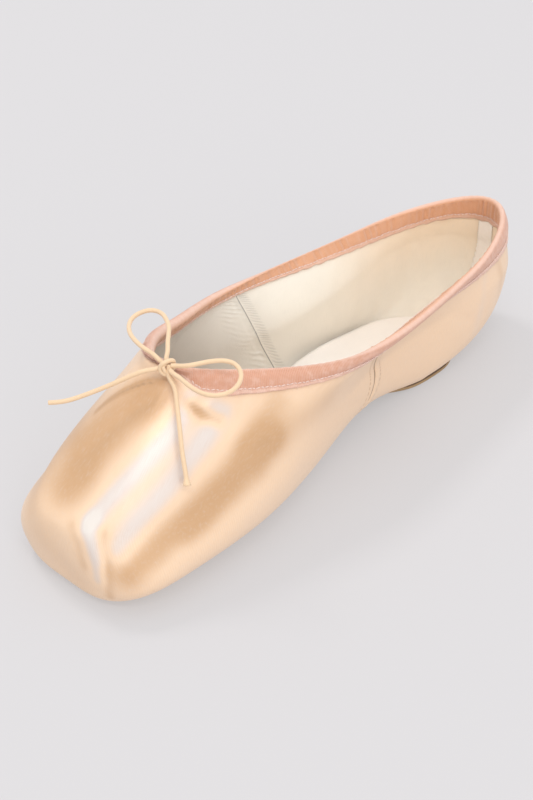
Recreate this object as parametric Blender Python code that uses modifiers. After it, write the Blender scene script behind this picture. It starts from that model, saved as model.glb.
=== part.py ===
"""Pointe shoe: satin upper on a straight last, leather outsole, insole, collar binding and drawstring bow.

Metres, +Z up. The toe points to -Y, the heel to +Y, and the shoe stands on its outsole at Z = 0.
Along the shoe, `s` is the distance back from the platform, the flat end of the toe box. The origin lies
under the middle of the shoe's overall length.
"""
import math

import bmesh
import bpy
import numpy as np

MM = 0.001

# Driving dimensions of the shoe
LENGTH = 235 * MM
MIDDLE = 118.3 * MM
PLATFORM_HALF = 24 * MM
PLATFORM_TOP = 27.5 * MM
BALL_HALF = 35.5 * MM
WAIST_HALF = 23 * MM
HEEL_HALF = 26 * MM
THROAT_BACK = 49 * MM
THROAT_HEIGHT = 64 * MM
COLLAR_BALL = 51 * MM
COLLAR_WAIST = 46.5 * MM
COLLAR_HEEL = 48 * MM

# Half-widths and set-backs of the rings, from the toe box's widest level and its foot up to the throat
BOX_HALF = 31 * MM
BOX_LEAN = 1.2 * MM
BOX_FOOT = 1.2 * MM
BOX_FOOT_BACK = 4 * MM
BOX_FOOT_HALF = 22.5 * MM
BOX_LOW_BACK = 0.7 * MM
BOX_LOW_HALF = 30.7 * MM
BOX_RIDGE_HALF = 22.5 * MM
SOLE_EDGE_HALF = 16 * MM
THROAT_HALF = 14 * MM
BALL_SHOULDER_HALF = 34.5 * MM
BALL_RIDGE_HALF = 33 * MM
COLLAR_BALL_HALF = 31 * MM
COLLAR_WAIST_HALF = 30.5 * MM
COLLAR_HEEL_HALF = 23.5 * MM

# Height of the widest level and how far the satin is turned in under the shoe
WIDE_BALL = 20 * MM
WIDE_WAIST = 24 * MM
WIDE_HEEL = 27 * MM
TUCK_TOE = 20 * MM
TUCK_BALL = 12 * MM
TUCK_SIDE = 7 * MM
TUCK_BACK = 31 * MM

# Walls, layers and the gap kept between separate pieces
WALL_BOX = 3.0 * MM
WALL_SIDE = 1.5 * MM
BOX_END = 62 * MM
SIDE_START = 112 * MM
CURVED_GAP = 0.4 * MM
INSOLE_CLEAR = 0.7 * MM
SOLE_THICK = 2.6 * MM
SOLE_BEVEL = 0.7 * MM
SOLE_COVER = 2.4 * MM
INSOLE_THICK = 1.8 * MM
INSOLE_BEVEL = 0.3 * MM
INSOLE_FRONT = 34 * MM
INSOLE_BACK = 204 * MM

# Arch: the rise of the sole line between ball and heel
ARCH_RISE = 5.2 * MM
ARCH_FRONT = 92 * MM
ARCH_BACK = 172 * MM

# Outsole: its two tips, where its half-widths are given, those half-widths, and the radius of its round ends
SOLE_FRONT = TUCK_TOE - SOLE_COVER
SOLE_BACK = LENGTH - TUCK_BACK + SOLE_COVER
SOLE_AT = np.array([SOLE_FRONT, 40 * MM, 80 * MM, 135 * MM, 182 * MM, SOLE_BACK])
SOLE_HALVES = np.array([18 * MM, 22.5 * MM, 25.5 * MM, 17.2 * MM, 20.5 * MM, 18 * MM])
SOLE_ROUND = 22 * MM
INSOLE_ROUND_FRONT = 20 * MM
INSOLE_ROUND_BACK = 22 * MM

# Binding folded over the collar, with the drawstring's casing at its top
BAND = 8.6 * MM
TAPE = 0.7 * MM
CASING_TOP = 1.3 * MM
CASING_BULGE = 0.5 * MM

# Drawstring: its knot in front of the throat, and the routes of the bow's loops and ends in millimetres.
# The second number of each place is the distance along the shoe.
CORD = 1.5 * MM
CORD_STEP = 2.2 * CORD
KNOT_AT = (5.6, 46.3, 66.4)
KNOT_RADII = (2.4 * MM, 2.3 * MM, 2.1 * MM)
BOW_ROUTES = {
    "loop_far": (
        (2.9, 46.3, 67.3), (-0.5, 46.3, 68.5), (-4, 46, 69.2), (-8.5, 46.3, 70),
        (-13, 48, 70.4), (-16.5, 51, 70.7), (-18.2, 54.3, 71), (-18.2, 58.1, 71.2),
        (-16.5, 61.3, 71.2), (-13.5, 62.3, 71), (-9.8, 61.2, 70.6), (-6, 58.7, 70),
        (-1.8, 54.1, 69), (1.8, 50.3, 68), (3.6, 48.1, 67.3),
    ),
    "loop_near": (
        (7.9, 47.6, 67.3), (11.6, 49.1, 68.2), (14.7, 53.3, 68.6), (17.6, 57.9, 68.4),
        (21, 60.2, 68), (24.7, 59.7, 67.2), (27.2, 57.5, 66.4), (28.6, 53.5, 65.4),
        (28, 49.5, 65), (25.9, 46.5, 65), (21.4, 44.7, 65.2), (16.4, 44.7, 65.6),
        (11.5, 45.3, 66), (8.3, 45.6, 66.2),
    ),
    "end_far": (
        (3.8, 44.2, 66.2), (1.6, 41.3, 65.8), (-2.4, 36.3, 63.8), (-7.1, 30.3, 60.8),
        (-11.4, 24.6, 58.5), (-15.1, 19.8, 57.2), (-18.4, 16.7, 56.8),
    ),
    "end_near": (
        (7.2, 45.3, 64.6), (10, 44.5, 62.6), (13.9, 42.1, 58.4), (18.5, 38.4, 53.4),
        (23, 34.9, 46.8), (26.9, 32.3, 41), (27.8, 31.6, 39.2),
    ),
}

# Mesh density: points round half a ring, rows from the sole edge to the band, rows in the band, stations of
# the plates between and in their round ends, which start a small angle after the very tip
TURN_POINTS = 34
WALL_ROWS = 18
BAND_ROWS = 3
SOLE_STATIONS = 26
INSOLE_STATIONS = 24
END_STATIONS = 7
END_START = 0.12

# Samples used for measuring along the last
OUTLINE_SAMPLES = 3001
WALL_SAMPLES = 401
WALL_REACH = 0.5
CAVITY_TURNS = 241
CAVITY_LEVELS = 25

# Shares of a ring's length at which its half-widths and its heights are given
WIDTH_AT = np.array([0.05, 0.29, 0.55, 0.84])
HEIGHT_AT = np.array([0.0, 0.29, 0.55, 0.90])

# Plan rounding of every ring: share of the length, and squareness, of the toe end and the heel end
TOE_ROUND = 0.13
TOE_SQUARE = 3.9
HEEL_ROUND = 0.27
HEEL_SQUARE = 2.15
TOE_TURN = 0.30
HEEL_TURN = 0.26

LEVEL_COLUMNS = ("v", "front", "back", "toe", "ball", "waist", "heel", "z_toe", "z_ball", "z_waist", "z_heel")
V_WIDE = 0.36


def mix(start, end, share):
    return start + (end - start) * share


def lower_level(v, angle, front, toe, z_toe):
    """Level on the round from the sole edge (0 degrees) out to the widest level (90 degrees)."""
    inward = 1 - math.sin(math.radians(angle))
    rise = 1 - math.cos(math.radians(angle))
    edge = SOLE_THICK + CURVED_GAP
    return (v, front, LENGTH - TUCK_BACK * inward, toe, BALL_HALF - TUCK_BALL * inward,
            WAIST_HALF - TUCK_SIDE * inward, HEEL_HALF - TUCK_SIDE * inward, z_toe,
            mix(edge, WIDE_BALL, rise), mix(edge, WIDE_WAIST, rise), mix(edge, WIDE_HEEL, rise))


def upper_level(v, climb, drawn_in, front, toe, ball, z_toe):
    """Level above the widest one: climb is its share of the way up the side, drawn_in towards the collar."""
    return (v, front, LENGTH, toe, ball,
            mix(WAIST_HALF, COLLAR_WAIST_HALF, drawn_in), mix(HEEL_HALF, COLLAR_HEEL_HALF, drawn_in), z_toe,
            mix(WIDE_BALL, COLLAR_BALL, climb), mix(WIDE_WAIST, COLLAR_WAIST, climb),
            mix(WIDE_HEEL, COLLAR_HEEL, climb))


def last_levels():
    """Rings of the last from the sole edge (v = 0) to the collar (v = 1), one row each."""
    edge = SOLE_THICK + CURVED_GAP
    face = PLATFORM_TOP - BOX_FOOT
    vamp = THROAT_HEIGHT - PLATFORM_TOP
    return np.array([
        lower_level(v=0.00, angle=0, front=TUCK_TOE, toe=SOLE_EDGE_HALF, z_toe=edge),
        lower_level(v=0.12, angle=30, front=BOX_FOOT_BACK, toe=BOX_FOOT_HALF, z_toe=BOX_FOOT),
        lower_level(v=0.24, angle=60, front=BOX_LOW_BACK, toe=BOX_LOW_HALF, z_toe=BOX_FOOT + 0.2 * face),
        lower_level(v=V_WIDE, angle=90, front=0.0, toe=BOX_HALF, z_toe=BOX_FOOT + 0.5 * face),
        upper_level(v=0.50, climb=0.28, drawn_in=0.0, front=BOX_LEAN, toe=PLATFORM_HALF,
                    ball=BALL_SHOULDER_HALF, z_toe=BOX_FOOT + 0.9 * face),
        upper_level(v=0.64, climb=0.56, drawn_in=0.3, front=mix(BOX_LEAN, THROAT_BACK, 0.13),
                    toe=BOX_RIDGE_HALF, ball=BALL_RIDGE_HALF, z_toe=PLATFORM_TOP + 0.10 * vamp),
        upper_level(v=0.82, climb=0.82, drawn_in=0.65, front=mix(BOX_LEAN, THROAT_BACK, 0.54),
                    toe=mix(PLATFORM_HALF, THROAT_HALF, 0.5),
                    ball=mix(BALL_RIDGE_HALF, COLLAR_BALL_HALF, 0.5), z_toe=PLATFORM_TOP + 0.55 * vamp),
        upper_level(v=1.00, climb=1.0, drawn_in=1.0, front=THROAT_BACK, toe=THROAT_HALF,
                    ball=COLLAR_BALL_HALF, z_toe=THROAT_HEIGHT),
    ])


def spline_weights(knots, at):
    """Matrix that turns values at the knots into a natural cubic spline read at the given places."""
    count = len(knots)
    step = np.diff(knots)
    bend = np.eye(count)
    load = np.zeros((count, count))
    for i in range(1, count - 1):
        bend[i, i - 1:i + 2] = step[i - 1], 2 * (step[i - 1] + step[i]), step[i]
        load[i, i - 1:i + 2] = 6 / step[i - 1], -6 / step[i - 1] - 6 / step[i], 6 / step[i]
    curvature = np.linalg.solve(bend, load)
    pick = np.eye(count)
    at = np.atleast_1d(at)
    i = np.clip(np.searchsorted(knots, at) - 1, 0, count - 2)
    after = (at - knots[i])[:, None]
    before = (knots[i + 1] - at)[:, None]
    h = step[i][:, None]
    cubic = (curvature[i] * before ** 3 + curvature[i + 1] * after ** 3) / (6 * h)
    start = (pick[i] / h - curvature[i] * h / 6) * before
    end = (pick[i + 1] / h - curvature[i + 1] * h / 6) * after
    return cubic + start + end


def arch(s):
    """Height of the sole line over the floor: flat under ball and heel, one smooth rise between."""
    share = np.clip((s - ARCH_FRONT) / (ARCH_BACK - ARCH_FRONT), 0, 1)
    return ARCH_RISE * np.sin(np.pi * share) ** 2


def ring_plan(turn):
    """Share of the length and of the half-width at each turn, from front centre (0) to back centre (1)."""
    toe = np.clip(turn / TOE_TURN, 0, 1) * np.pi / 2
    heel = np.clip((1 - turn) / HEEL_TURN, 0, 1) * np.pi / 2
    toe_end = TOE_ROUND * (1 - np.cos(toe) ** (2 / TOE_SQUARE))
    heel_end = 1 - HEEL_ROUND * (1 - np.cos(heel) ** (2 / HEEL_SQUARE))
    side = TOE_ROUND + (1 - TOE_ROUND - HEEL_ROUND) * (turn - TOE_TURN) / (1 - TOE_TURN - HEEL_TURN)
    along = np.where(turn < TOE_TURN, toe_end, np.where(turn > 1 - HEEL_TURN, heel_end, side))
    across = np.sin(toe) ** (2 / TOE_SQUARE) * np.sin(heel) ** (2 / HEEL_SQUARE)
    across = np.where((turn < 1e-9) | (turn > 1 - 1e-9), 0, across)
    return along, across


LEVELS = last_levels()


def last_point(turn, v):
    """Outer face of the upper on the +X half: turn goes round the shoe, v from sole edge to collar."""
    turn, v = np.broadcast_arrays(np.asarray(turn, float), np.asarray(v, float))
    ring = spline_weights(LEVELS[:, 0], v.ravel()) @ LEVELS
    column = dict(zip(LEVEL_COLUMNS, ring.T))
    along, across = ring_plan(turn.ravel())
    widths = np.stack([column[name] for name in ("toe", "ball", "waist", "heel")], axis=1)
    heights = np.stack([column[name] for name in ("z_toe", "z_ball", "z_waist", "z_heel")], axis=1)
    half = (spline_weights(WIDTH_AT, along) * widths).sum(axis=1)
    s = column["front"] + (column["back"] - column["front"]) * along
    height = (spline_weights(HEIGHT_AT, along) * heights).sum(axis=1)
    share = np.clip(v.ravel() / V_WIDE, 0, 1)
    height = height + arch(s) * (1 - share ** 2) ** 2
    return np.stack([half * across, s - MIDDLE, height], axis=1).reshape(turn.shape + (3,))


def last_normal(turn, v):
    """Outward unit normal of the upper's outer face."""
    step = 1e-4
    turn, v = np.broadcast_arrays(np.asarray(turn, float), np.asarray(v, float))
    up = last_point(turn, np.minimum(v + step, 1)) - last_point(turn, np.maximum(v - step, 0))
    back = last_point(np.minimum(turn + step, 1), v) - last_point(np.maximum(turn - step, 0), v)
    normal = np.cross(back, up)
    on_plane = (turn < step) | (turn > 1 - step)
    normal[..., 0] = np.where(on_plane, 0, normal[..., 0])
    return normal / np.linalg.norm(normal, axis=-1, keepdims=True)


def wall(s):
    """Thickness of the upper: stiffened toe box in front, thin satin and lining behind."""
    share = np.clip((s - BOX_END) / (SIDE_START - BOX_END), 0, 1)
    return mix(WALL_BOX, WALL_SIDE, share * share * (3 - 2 * share))


def wall_at(point):
    """Thickness of the upper at points on its outer face, as a column."""
    return wall(point[..., 1:2] + MIDDLE)


def even_turns(count):
    """Turns that lie at equal distances along the widest ring."""
    fine = np.linspace(0, 1, OUTLINE_SAMPLES)
    outline = last_point(fine, V_WIDE)
    run = np.concatenate([[0], np.cumsum(np.linalg.norm(np.diff(outline, axis=0), axis=1))])
    return np.interp(np.linspace(0, run[-1], count), run, fine)


def below_collar(turn, distance):
    """The v at which the wall is the given distance below the collar, measured down the wall."""
    v = np.linspace(1, WALL_REACH, WALL_SAMPLES)
    path = last_point(turn[:, None], v[None, :])
    run = np.cumsum(np.linalg.norm(np.diff(path, axis=1), axis=2), axis=1)
    run = np.concatenate([np.zeros((len(turn), 1)), run], axis=1)
    return np.array([np.interp(distance, row, v) for row in run])


def beside_wall(turn, down, out, inward):
    """Points so far down the wall from the collar, out from its face, and by a share of the wall inward."""
    v = below_collar(turn, max(down, 0))
    outer = last_point(turn, v)
    point = outer + last_normal(turn, v) * (out - inward * wall_at(outer))
    if down < 0:
        up = last_point(turn, 1.0) - last_point(turn, 0.999)
        point = point - down * up / np.linalg.norm(up, axis=1, keepdims=True)
    return point


def material(name, colour, roughness, sheen=0.0):
    """Principled material."""
    made = bpy.data.materials.new(name)
    made.use_nodes = True
    shader = made.node_tree.nodes["Principled BSDF"]
    shader.inputs["Base Color"].default_value = (*colour, 1)
    shader.inputs["Roughness"].default_value = roughness
    shader.inputs["Metallic"].default_value = 0.0
    shader.inputs["Sheen Weight"].default_value = sheen
    return made


def add_object(name, data, skin, group):
    """Object with its material in the shoe's collection."""
    made = bpy.data.objects.new(name, data)
    data.materials.append(skin)
    group.objects.link(made)
    return made


def grid_mesh(name, points, close_rows=False, cap_columns=False):
    """Quads over a grid of points; rows may close on themselves and the end columns may be capped."""
    rows, columns = points.shape[:2]
    mesh = bmesh.new()
    corner = [[mesh.verts.new(points[i, j]) for j in range(columns)] for i in range(rows)]
    for i in range(rows if close_rows else rows - 1):
        for j in range(columns - 1):
            after = (i + 1) % rows
            mesh.faces.new((corner[i][j], corner[i][j + 1], corner[after][j + 1], corner[after][j]))
    if cap_columns:
        mesh.faces.new([corner[i][0] for i in range(rows)])
        mesh.faces.new([corner[i][-1] for i in reversed(range(rows))])
    bmesh.ops.triangulate(mesh, faces=mesh.faces)
    data = bpy.data.meshes.new(name)
    mesh.to_mesh(data)
    mesh.free()
    data.shade_smooth()
    return data


def mirror(made):
    """The -X half, joined at the middle plane."""
    half = made.modifiers.new("Mirror", "MIRROR")
    half.use_axis = (True, False, False)
    half.merge_threshold = 0.0001
    half.use_clip = True


def upper(skin, group):
    """Satin upper with its toe box: outer face up to the collar, inner face a wall's thickness inside it."""
    turn = even_turns(TURN_POINTS)
    band_v = below_collar(turn, BAND)
    rows = [band_v * share for share in np.linspace(0, 1, WALL_ROWS)]
    rows += [below_collar(turn, BAND * (1 - k / (BAND_ROWS - 1))) for k in range(1, BAND_ROWS)]
    outer = [last_point(turn, v) for v in rows]
    inner = [point - last_normal(turn, v) * wall_at(point) for point, v in zip(outer, rows)]
    points = np.stack(outer + inner[::-1])
    made = add_object("upper", grid_mesh("upper", points, close_rows=True), skin, group)
    mirror(made)


def binding(skin, group):
    """Tape folded over the collar: outer leg, casing over the rim and inner leg, swept round the collar."""
    turn = even_turns(TURN_POINTS)
    face = CURVED_GAP + TAPE
    full = face + CASING_BULGE
    section = (
        # down the wall, out from the outer face, share of the wall inward
        (BAND, CURVED_GAP, 0),
        (BAND, face, 0),
        (BAND / 2, face, 0),
        (0.0, full, 0),
        (-CURVED_GAP - 0.7 * CASING_TOP, 0.6 * full, 0),
        (-CURVED_GAP - CASING_TOP, 0.0, 0.5),
        (-CURVED_GAP - 0.7 * CASING_TOP, -0.6 * full, 1),
        (0.0, -full, 1),
        (BAND / 2, -face, 1),
        (BAND, -face, 1),
        (BAND, -CURVED_GAP, 1),
        (BAND / 2, -CURVED_GAP, 1),
        (0.0, -CURVED_GAP, 1),
        (-CURVED_GAP, -0.5 * CURVED_GAP, 1),
        (-CURVED_GAP, 0.5 * CURVED_GAP, 0),
        (0.0, CURVED_GAP, 0),
        (BAND / 2, CURVED_GAP, 0),
    )
    loop = []
    for down, out, inward in section:
        loop.append(beside_wall(turn, down, out, inward))
    points = np.stack(loop)
    made = add_object("binding", grid_mesh("binding", points, close_rows=True), skin, group)
    mirror(made)


def cavity_half(s, height):
    """Half-width of the inside of the shoe at each place along it, at a height over the sole line."""
    turn = np.linspace(0, 1, CAVITY_TURNS)
    v = np.linspace(0, V_WIDE, CAVITY_LEVELS)
    skin = last_point(turn[None, :], v[:, None])
    inside = skin - last_normal(turn[None, :], v[:, None]) * wall_at(skin)
    half = np.zeros(len(s))
    for i, place in enumerate(s):
        x = np.zeros(len(v))
        z = np.zeros(len(v))
        for k in range(len(v)):
            run = inside[k, :, 1] + MIDDLE
            order = np.argsort(run)
            x[k] = np.interp(place, run[order], inside[k, order, 0], left=0, right=0)
            z[k] = np.interp(place, run[order], inside[k, order, 2])
        half[i] = np.interp(arch(place) + height[i], z, x)
    return half


def plate(name, s, top_half, bottom_half, bottom, top, bevel, skin, group):
    """Plate along the shoe that follows the sole line, with its lower edges bevelled."""
    lift = arch(s)
    y = s - MIDDLE
    section = (
        (-top_half, top),
        (-bottom_half, bottom + bevel),
        (-bottom_half + bevel, bottom),
        (bottom_half - bevel, bottom),
        (bottom_half, bottom + bevel),
        (top_half, top),
    )
    points = np.stack([np.stack([half, y, lift + z], axis=1) for half, z in section])
    return add_object(name, grid_mesh(name, points, close_rows=True, cap_columns=True), skin, group)


def rounded_stations(front, back, front_radius, back_radius, count):
    """Places along a plate, closer together in its round ends, and the width share of each."""
    angle = np.linspace(END_START, np.pi / 2, END_STATIONS)
    nose = front + front_radius * (1 - np.cos(angle))
    tail = back - back_radius * (1 - np.cos(angle[::-1]))
    middle = np.linspace(nose[-1], tail[0], count)[1:-1]
    s = np.concatenate([nose, middle, tail])
    share = np.concatenate([np.sin(angle), np.ones(len(middle)), np.sin(angle[::-1])])
    return s, share


def outsole(skin, group):
    """Leather outsole, a little wider than the opening that the turned-in satin leaves."""
    s, share = rounded_stations(SOLE_FRONT, SOLE_BACK, SOLE_ROUND, SOLE_ROUND, SOLE_STATIONS)
    half = spline_weights(SOLE_AT, s) @ SOLE_HALVES * share
    plate("outsole", s, half, half, 0.0, SOLE_THICK, SOLE_BEVEL, skin, group)


def insole(skin, group):
    """Board and its cotton cover, as wide as the inside of the shoe lets it be."""
    bottom = SOLE_THICK + CURVED_GAP + WALL_SIDE + CURVED_GAP
    top = bottom + INSOLE_THICK
    s, share = rounded_stations(INSOLE_FRONT, INSOLE_BACK, INSOLE_ROUND_FRONT, INSOLE_ROUND_BACK,
                                INSOLE_STATIONS)
    extra = wall(s) - WALL_SIDE
    top_half = (cavity_half(s, top + extra) - INSOLE_CLEAR) * share
    bottom_half = (cavity_half(s, bottom + extra) - INSOLE_CLEAR) * share
    made = plate("insole", s, top_half, bottom_half, bottom, top, INSOLE_BEVEL, skin, group)
    for vertex in made.data.vertices:
        vertex.co.z += float(wall(vertex.co.y + MIDDLE)) - WALL_SIDE


def place_in_shoe(place):
    """Point in metres for places given in millimetres across, along and above the shoe."""
    return np.array(place) * MM - (0, MIDDLE, 0)


def smooth_route(route):
    """Points at even steps along a smooth curve through the places of a route."""
    corners = place_in_shoe(route)
    run = np.concatenate([[0], np.cumsum(np.linalg.norm(np.diff(corners, axis=0), axis=1))])
    count = max(3, round(run[-1] / CORD_STEP) + 1)
    return spline_weights(run, np.linspace(0, run[-1], count)) @ corners


def bow(skin, group):
    """Knot, two loops and two ends of the drawstring."""
    mesh = bmesh.new()
    bmesh.ops.create_uvsphere(mesh, u_segments=14, v_segments=9, radius=1)
    bmesh.ops.scale(mesh, vec=KNOT_RADII, verts=mesh.verts)
    data = bpy.data.meshes.new("knot")
    mesh.to_mesh(data)
    mesh.free()
    data.shade_smooth()
    knot = add_object("knot", data, skin, group)
    knot.location = place_in_shoe(KNOT_AT)
    for name, route in BOW_ROUTES.items():
        points = smooth_route(route)
        curve = bpy.data.curves.new(name, "CURVE")
        curve.dimensions = "3D"
        curve.bevel_depth = CORD / 2
        curve.bevel_resolution = 2
        curve.use_fill_caps = True
        spline = curve.splines.new("POLY")
        spline.points.add(len(points) - 1)
        for place, point in zip(spline.points, points):
            place.co = (*point, 1)
        add_object(name, curve, skin, group)


def main():
    for old in list(bpy.data.objects):
        bpy.data.objects.remove(old, do_unlink=True)
    group = bpy.data.collections.new("Pointe shoe")
    bpy.context.scene.collection.children.link(group)
    satin = material("satin", (0.86, 0.66, 0.50), 0.38, 0.2)
    tape = material("binding_tape", (0.82, 0.52, 0.42), 0.75)
    leather = material("sole_leather", (0.52, 0.38, 0.24), 0.7)
    cotton = material("insole_cotton", (0.84, 0.74, 0.61), 0.9)
    cord = material("cord_cotton", (0.88, 0.72, 0.55), 0.7)
    upper(satin, group)
    binding(tape, group)
    outsole(leather, group)
    insole(cotton, group)
    bow(cord, group)


main()
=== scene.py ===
"""Looks of the pointe shoe: satin, lining, binding, stitching, insole, leather sole and drawstring.

Metres, +Z up, toe towards -Y. Along the shoe, `s` is the distance back from the platform, the flat end of
the toe box. The shoe's surface is a function of two parameters: `turn` goes round half of it, from front
centre (0) to back centre (1), and `v` goes up the wall, from the sole edge (0) to the collar (1).
"""
import math

import bpy
import numpy as np
from mathutils import Matrix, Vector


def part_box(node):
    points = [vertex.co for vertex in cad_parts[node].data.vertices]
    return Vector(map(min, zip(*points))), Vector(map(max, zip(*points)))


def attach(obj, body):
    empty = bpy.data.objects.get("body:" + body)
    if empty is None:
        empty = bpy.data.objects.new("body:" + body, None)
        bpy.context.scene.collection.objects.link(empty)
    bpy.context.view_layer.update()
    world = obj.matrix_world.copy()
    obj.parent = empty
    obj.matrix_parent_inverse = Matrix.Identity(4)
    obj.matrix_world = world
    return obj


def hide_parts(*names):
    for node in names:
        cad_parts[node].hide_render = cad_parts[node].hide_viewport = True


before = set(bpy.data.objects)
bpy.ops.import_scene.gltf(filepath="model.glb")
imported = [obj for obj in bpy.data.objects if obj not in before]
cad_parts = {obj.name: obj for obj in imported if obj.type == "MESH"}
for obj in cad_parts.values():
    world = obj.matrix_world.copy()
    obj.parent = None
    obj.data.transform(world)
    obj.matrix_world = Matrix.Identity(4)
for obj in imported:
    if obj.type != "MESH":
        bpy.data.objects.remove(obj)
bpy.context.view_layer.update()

bl_info = {
    "name": "Pointe shoe dressing",
    "version": (1, 0, 0),
    "blender": (4, 5, 0),
    "location": "3D View > Sidebar > Shoe",
    "description": "Dresses the plain solids of a pointe shoe in satin, cotton, tape, leather and cord",
    "category": "Object",
}

MM = 0.001
BODY = "root"

# The last, in the same sizes as the solids
LENGTH = 235 * MM
MIDDLE = -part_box("upper")[0].y
PLATFORM_HALF = 24 * MM
PLATFORM_TOP = 27.5 * MM
BALL_HALF = 35.5 * MM
WAIST_HALF = 23 * MM
HEEL_HALF = 26 * MM
THROAT_BACK = 49 * MM
THROAT_HEIGHT = 64 * MM
COLLAR_BALL = 51 * MM
COLLAR_WAIST = 46.5 * MM
COLLAR_HEEL = 48 * MM
BOX_HALF = 31 * MM
BOX_LEAN = 1.2 * MM
BOX_FOOT = 1.2 * MM
BOX_FOOT_BACK = 4 * MM
BOX_FOOT_HALF = 22.5 * MM
BOX_LOW_BACK = 0.7 * MM
BOX_LOW_HALF = 30.7 * MM
BOX_RIDGE_HALF = 22.5 * MM
SOLE_EDGE_HALF = 16 * MM
THROAT_HALF = 14 * MM
BALL_SHOULDER_HALF = 34.5 * MM
BALL_RIDGE_HALF = 33 * MM
COLLAR_BALL_HALF = 31 * MM
COLLAR_WAIST_HALF = 30.5 * MM
COLLAR_HEEL_HALF = 23.5 * MM
WIDE_BALL = 20 * MM
WIDE_WAIST = 24 * MM
WIDE_HEEL = 27 * MM
TUCK_TOE = 20 * MM
TUCK_BALL = 12 * MM
TUCK_SIDE = 7 * MM
TUCK_BACK = 31 * MM
WALL_BOX = 3.0 * MM
WALL_SIDE = 1.5 * MM
BOX_END = 62 * MM
SIDE_START = 112 * MM
CURVED_GAP = 0.4 * MM
ARCH_RISE = 5.2 * MM
ARCH_FRONT = 92 * MM
ARCH_BACK = 172 * MM
WIDTH_AT = np.array([0.05, 0.29, 0.55, 0.84])
HEIGHT_AT = np.array([0.0, 0.29, 0.55, 0.90])
TOE_ROUND = 0.13
TOE_SQUARE = 3.9
HEEL_ROUND = 0.27
HEEL_SQUARE = 2.15
TOE_TURN = 0.30
HEEL_TURN = 0.26
V_WIDE = 0.36
LEVEL_COLUMNS = ("v", "front", "back", "toe", "ball", "waist", "heel", "z_toe", "z_ball", "z_waist", "z_heel")

# Far corner of the throat: how far it is rounded out, its place along the shoe, and its reach
THROAT_ROUNDING = 2.2 * MM
THROAT_CORNER = 64 * MM
THROAT_CORNER_REACH = 13 * MM

# Collar binding: depth of the band, the tape's face, the casing, the stitched line and the wall's paring
BAND = 8.6 * MM
TAPE_FACE = 0.72 * MM
CASING_TOP = 1.3 * MM
CASING_BULGE = 0.5 * MM
STITCH_LINE = BAND - 2.1 * MM
STITCH_GROOVE = 0.2 * MM
TAPE_BACK = 0.12 * MM
PARED_SHARE = 0.35

# Tape's width: how it widens from its point at the knot on both sides, and its wider stretch at the waist
TAPER_START = 3 * MM
TAPER_NEAR = 17 * MM
TAPER_FAR = 46 * MM
TAPER_POINT = 0.10
WIDER_AT = 150 * MM
WIDER_REACH = 32 * MM
WIDER_SHARE = 0.26

# Stitches of the binding, its loose fibres, and the tape over the back seam with its pinked edge
STITCH_RADIUS = 0.22 * MM
STITCH_GAP = 0.35 * MM
STITCH_ZIGZAG = 0.22 * MM
FIBRES_OUTSIDE = 420
FIBRES_INSIDE = 620
FIBRE_RADIUS = 0.04 * MM
FIBRE_LIFT = 0.5 * MM
BACK_TAPE_TOP = BAND - 1.2 * MM
BACK_TAPE_FOOT = 0.20
BACK_TAPE_HALF = 3.4 * MM
BACK_TAPE_TOOTH = 0.75 * MM
BACK_TAPE_TEETH = 20

# Satin: tuck over the outsole, height of the UV map, stitch lines off a seam, and mm that stand for no seam
TUCK_IN = 4.5 * MM
WALL_HEIGHT = 65 * MM
SEAM_STITCH = 3.4 * MM
FAR_OFF = 50.0

# Pleats under the toe: angle that one takes, and the shares of its long and its steep side
PLEAT_TURN = math.radians(8.2)
PLEAT_LONG = 0.78
PLEAT_STEEP = 0.22

# Outsole and insole
SOLE_THICK = 2.6 * MM
SOLE_COVER = 2.4 * MM
SOLE_FRONT = TUCK_TOE - SOLE_COVER
SOLE_BACK = LENGTH - TUCK_BACK + SOLE_COVER
SOLE_AT = np.array([SOLE_FRONT, 40 * MM, 80 * MM, 135 * MM, 182 * MM, SOLE_BACK])
SOLE_HALVES = np.array([18 * MM, 22.5 * MM, 25.5 * MM, 17.2 * MM, 20.5 * MM, 18 * MM])
SOLE_ROUND = 22 * MM
SOLE_DRAWN_BALL = 3.0 * MM
SOLE_DRAWN_WAIST = 2.3 * MM
SOLE_DRAWN_HEEL = -0.8 * MM
SOLE_DRAWN_BACK = 2 * MM
INSOLE_CLEAR = 0.15 * MM
INSOLE_THICK = 2.5 * MM
INSOLE_FRONT = 34 * MM
INSOLE_BACK = 204 * MM
INSOLE_FRONT_ROUND = 20 * MM
INSOLE_BACK_ROUND = 22 * MM
INSOLE_CURL = 4.8 * MM
INSOLE_CURL_AT = 155 * MM
INSOLE_CURL_REACH = 28 * MM

# Tread of the outsole from the middle out: share of the half-width, height in mm, how dark
SOLE_TREAD = (
    (0.02, 0.0, 0.0), (0.3, 0.0, 0.0), (0.6, 0.0, 0.0), (0.85, 0.0, 0.05), (0.862, 0.22, 0.85),
    (0.875, 0.0, 0.02), (0.93, 0.0, 0.02), (0.96, 0.0, 0.05),
)

# Edge of the outsole from the tread up: inset in mm, height in mm, how dark
SOLE_EDGE = (
    (0.62, 0.0, 0.0), (0.30, 0.12, 0.1), (0.08, 0.34, 0.1), (0.0, 0.7, 0.05), (0.0, 1.1, 0.05),
    (0.03, 1.45, 0.15), (0.15, 1.62, 1.0), (0.05, 1.78, 0.9), (0.0, 2.0, 0.9), (0.02, 2.3, 0.95),
    (0.18, 2.5, 1.0), (0.5, 2.6, 1.0),
)

# Side seams: places along the shoe at heights above the floor, on the near (+X) and the far (-X) side
SEAM_HEIGHTS = np.array([5, 14, 23, 32, 43]) * MM
SEAM_NEAR = np.array([125.5, 130.4, 133.2, 131.6, 126]) * MM
SEAM_FAR = np.array([126, 124.8, 121.8, 118.6, 116]) * MM

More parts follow.
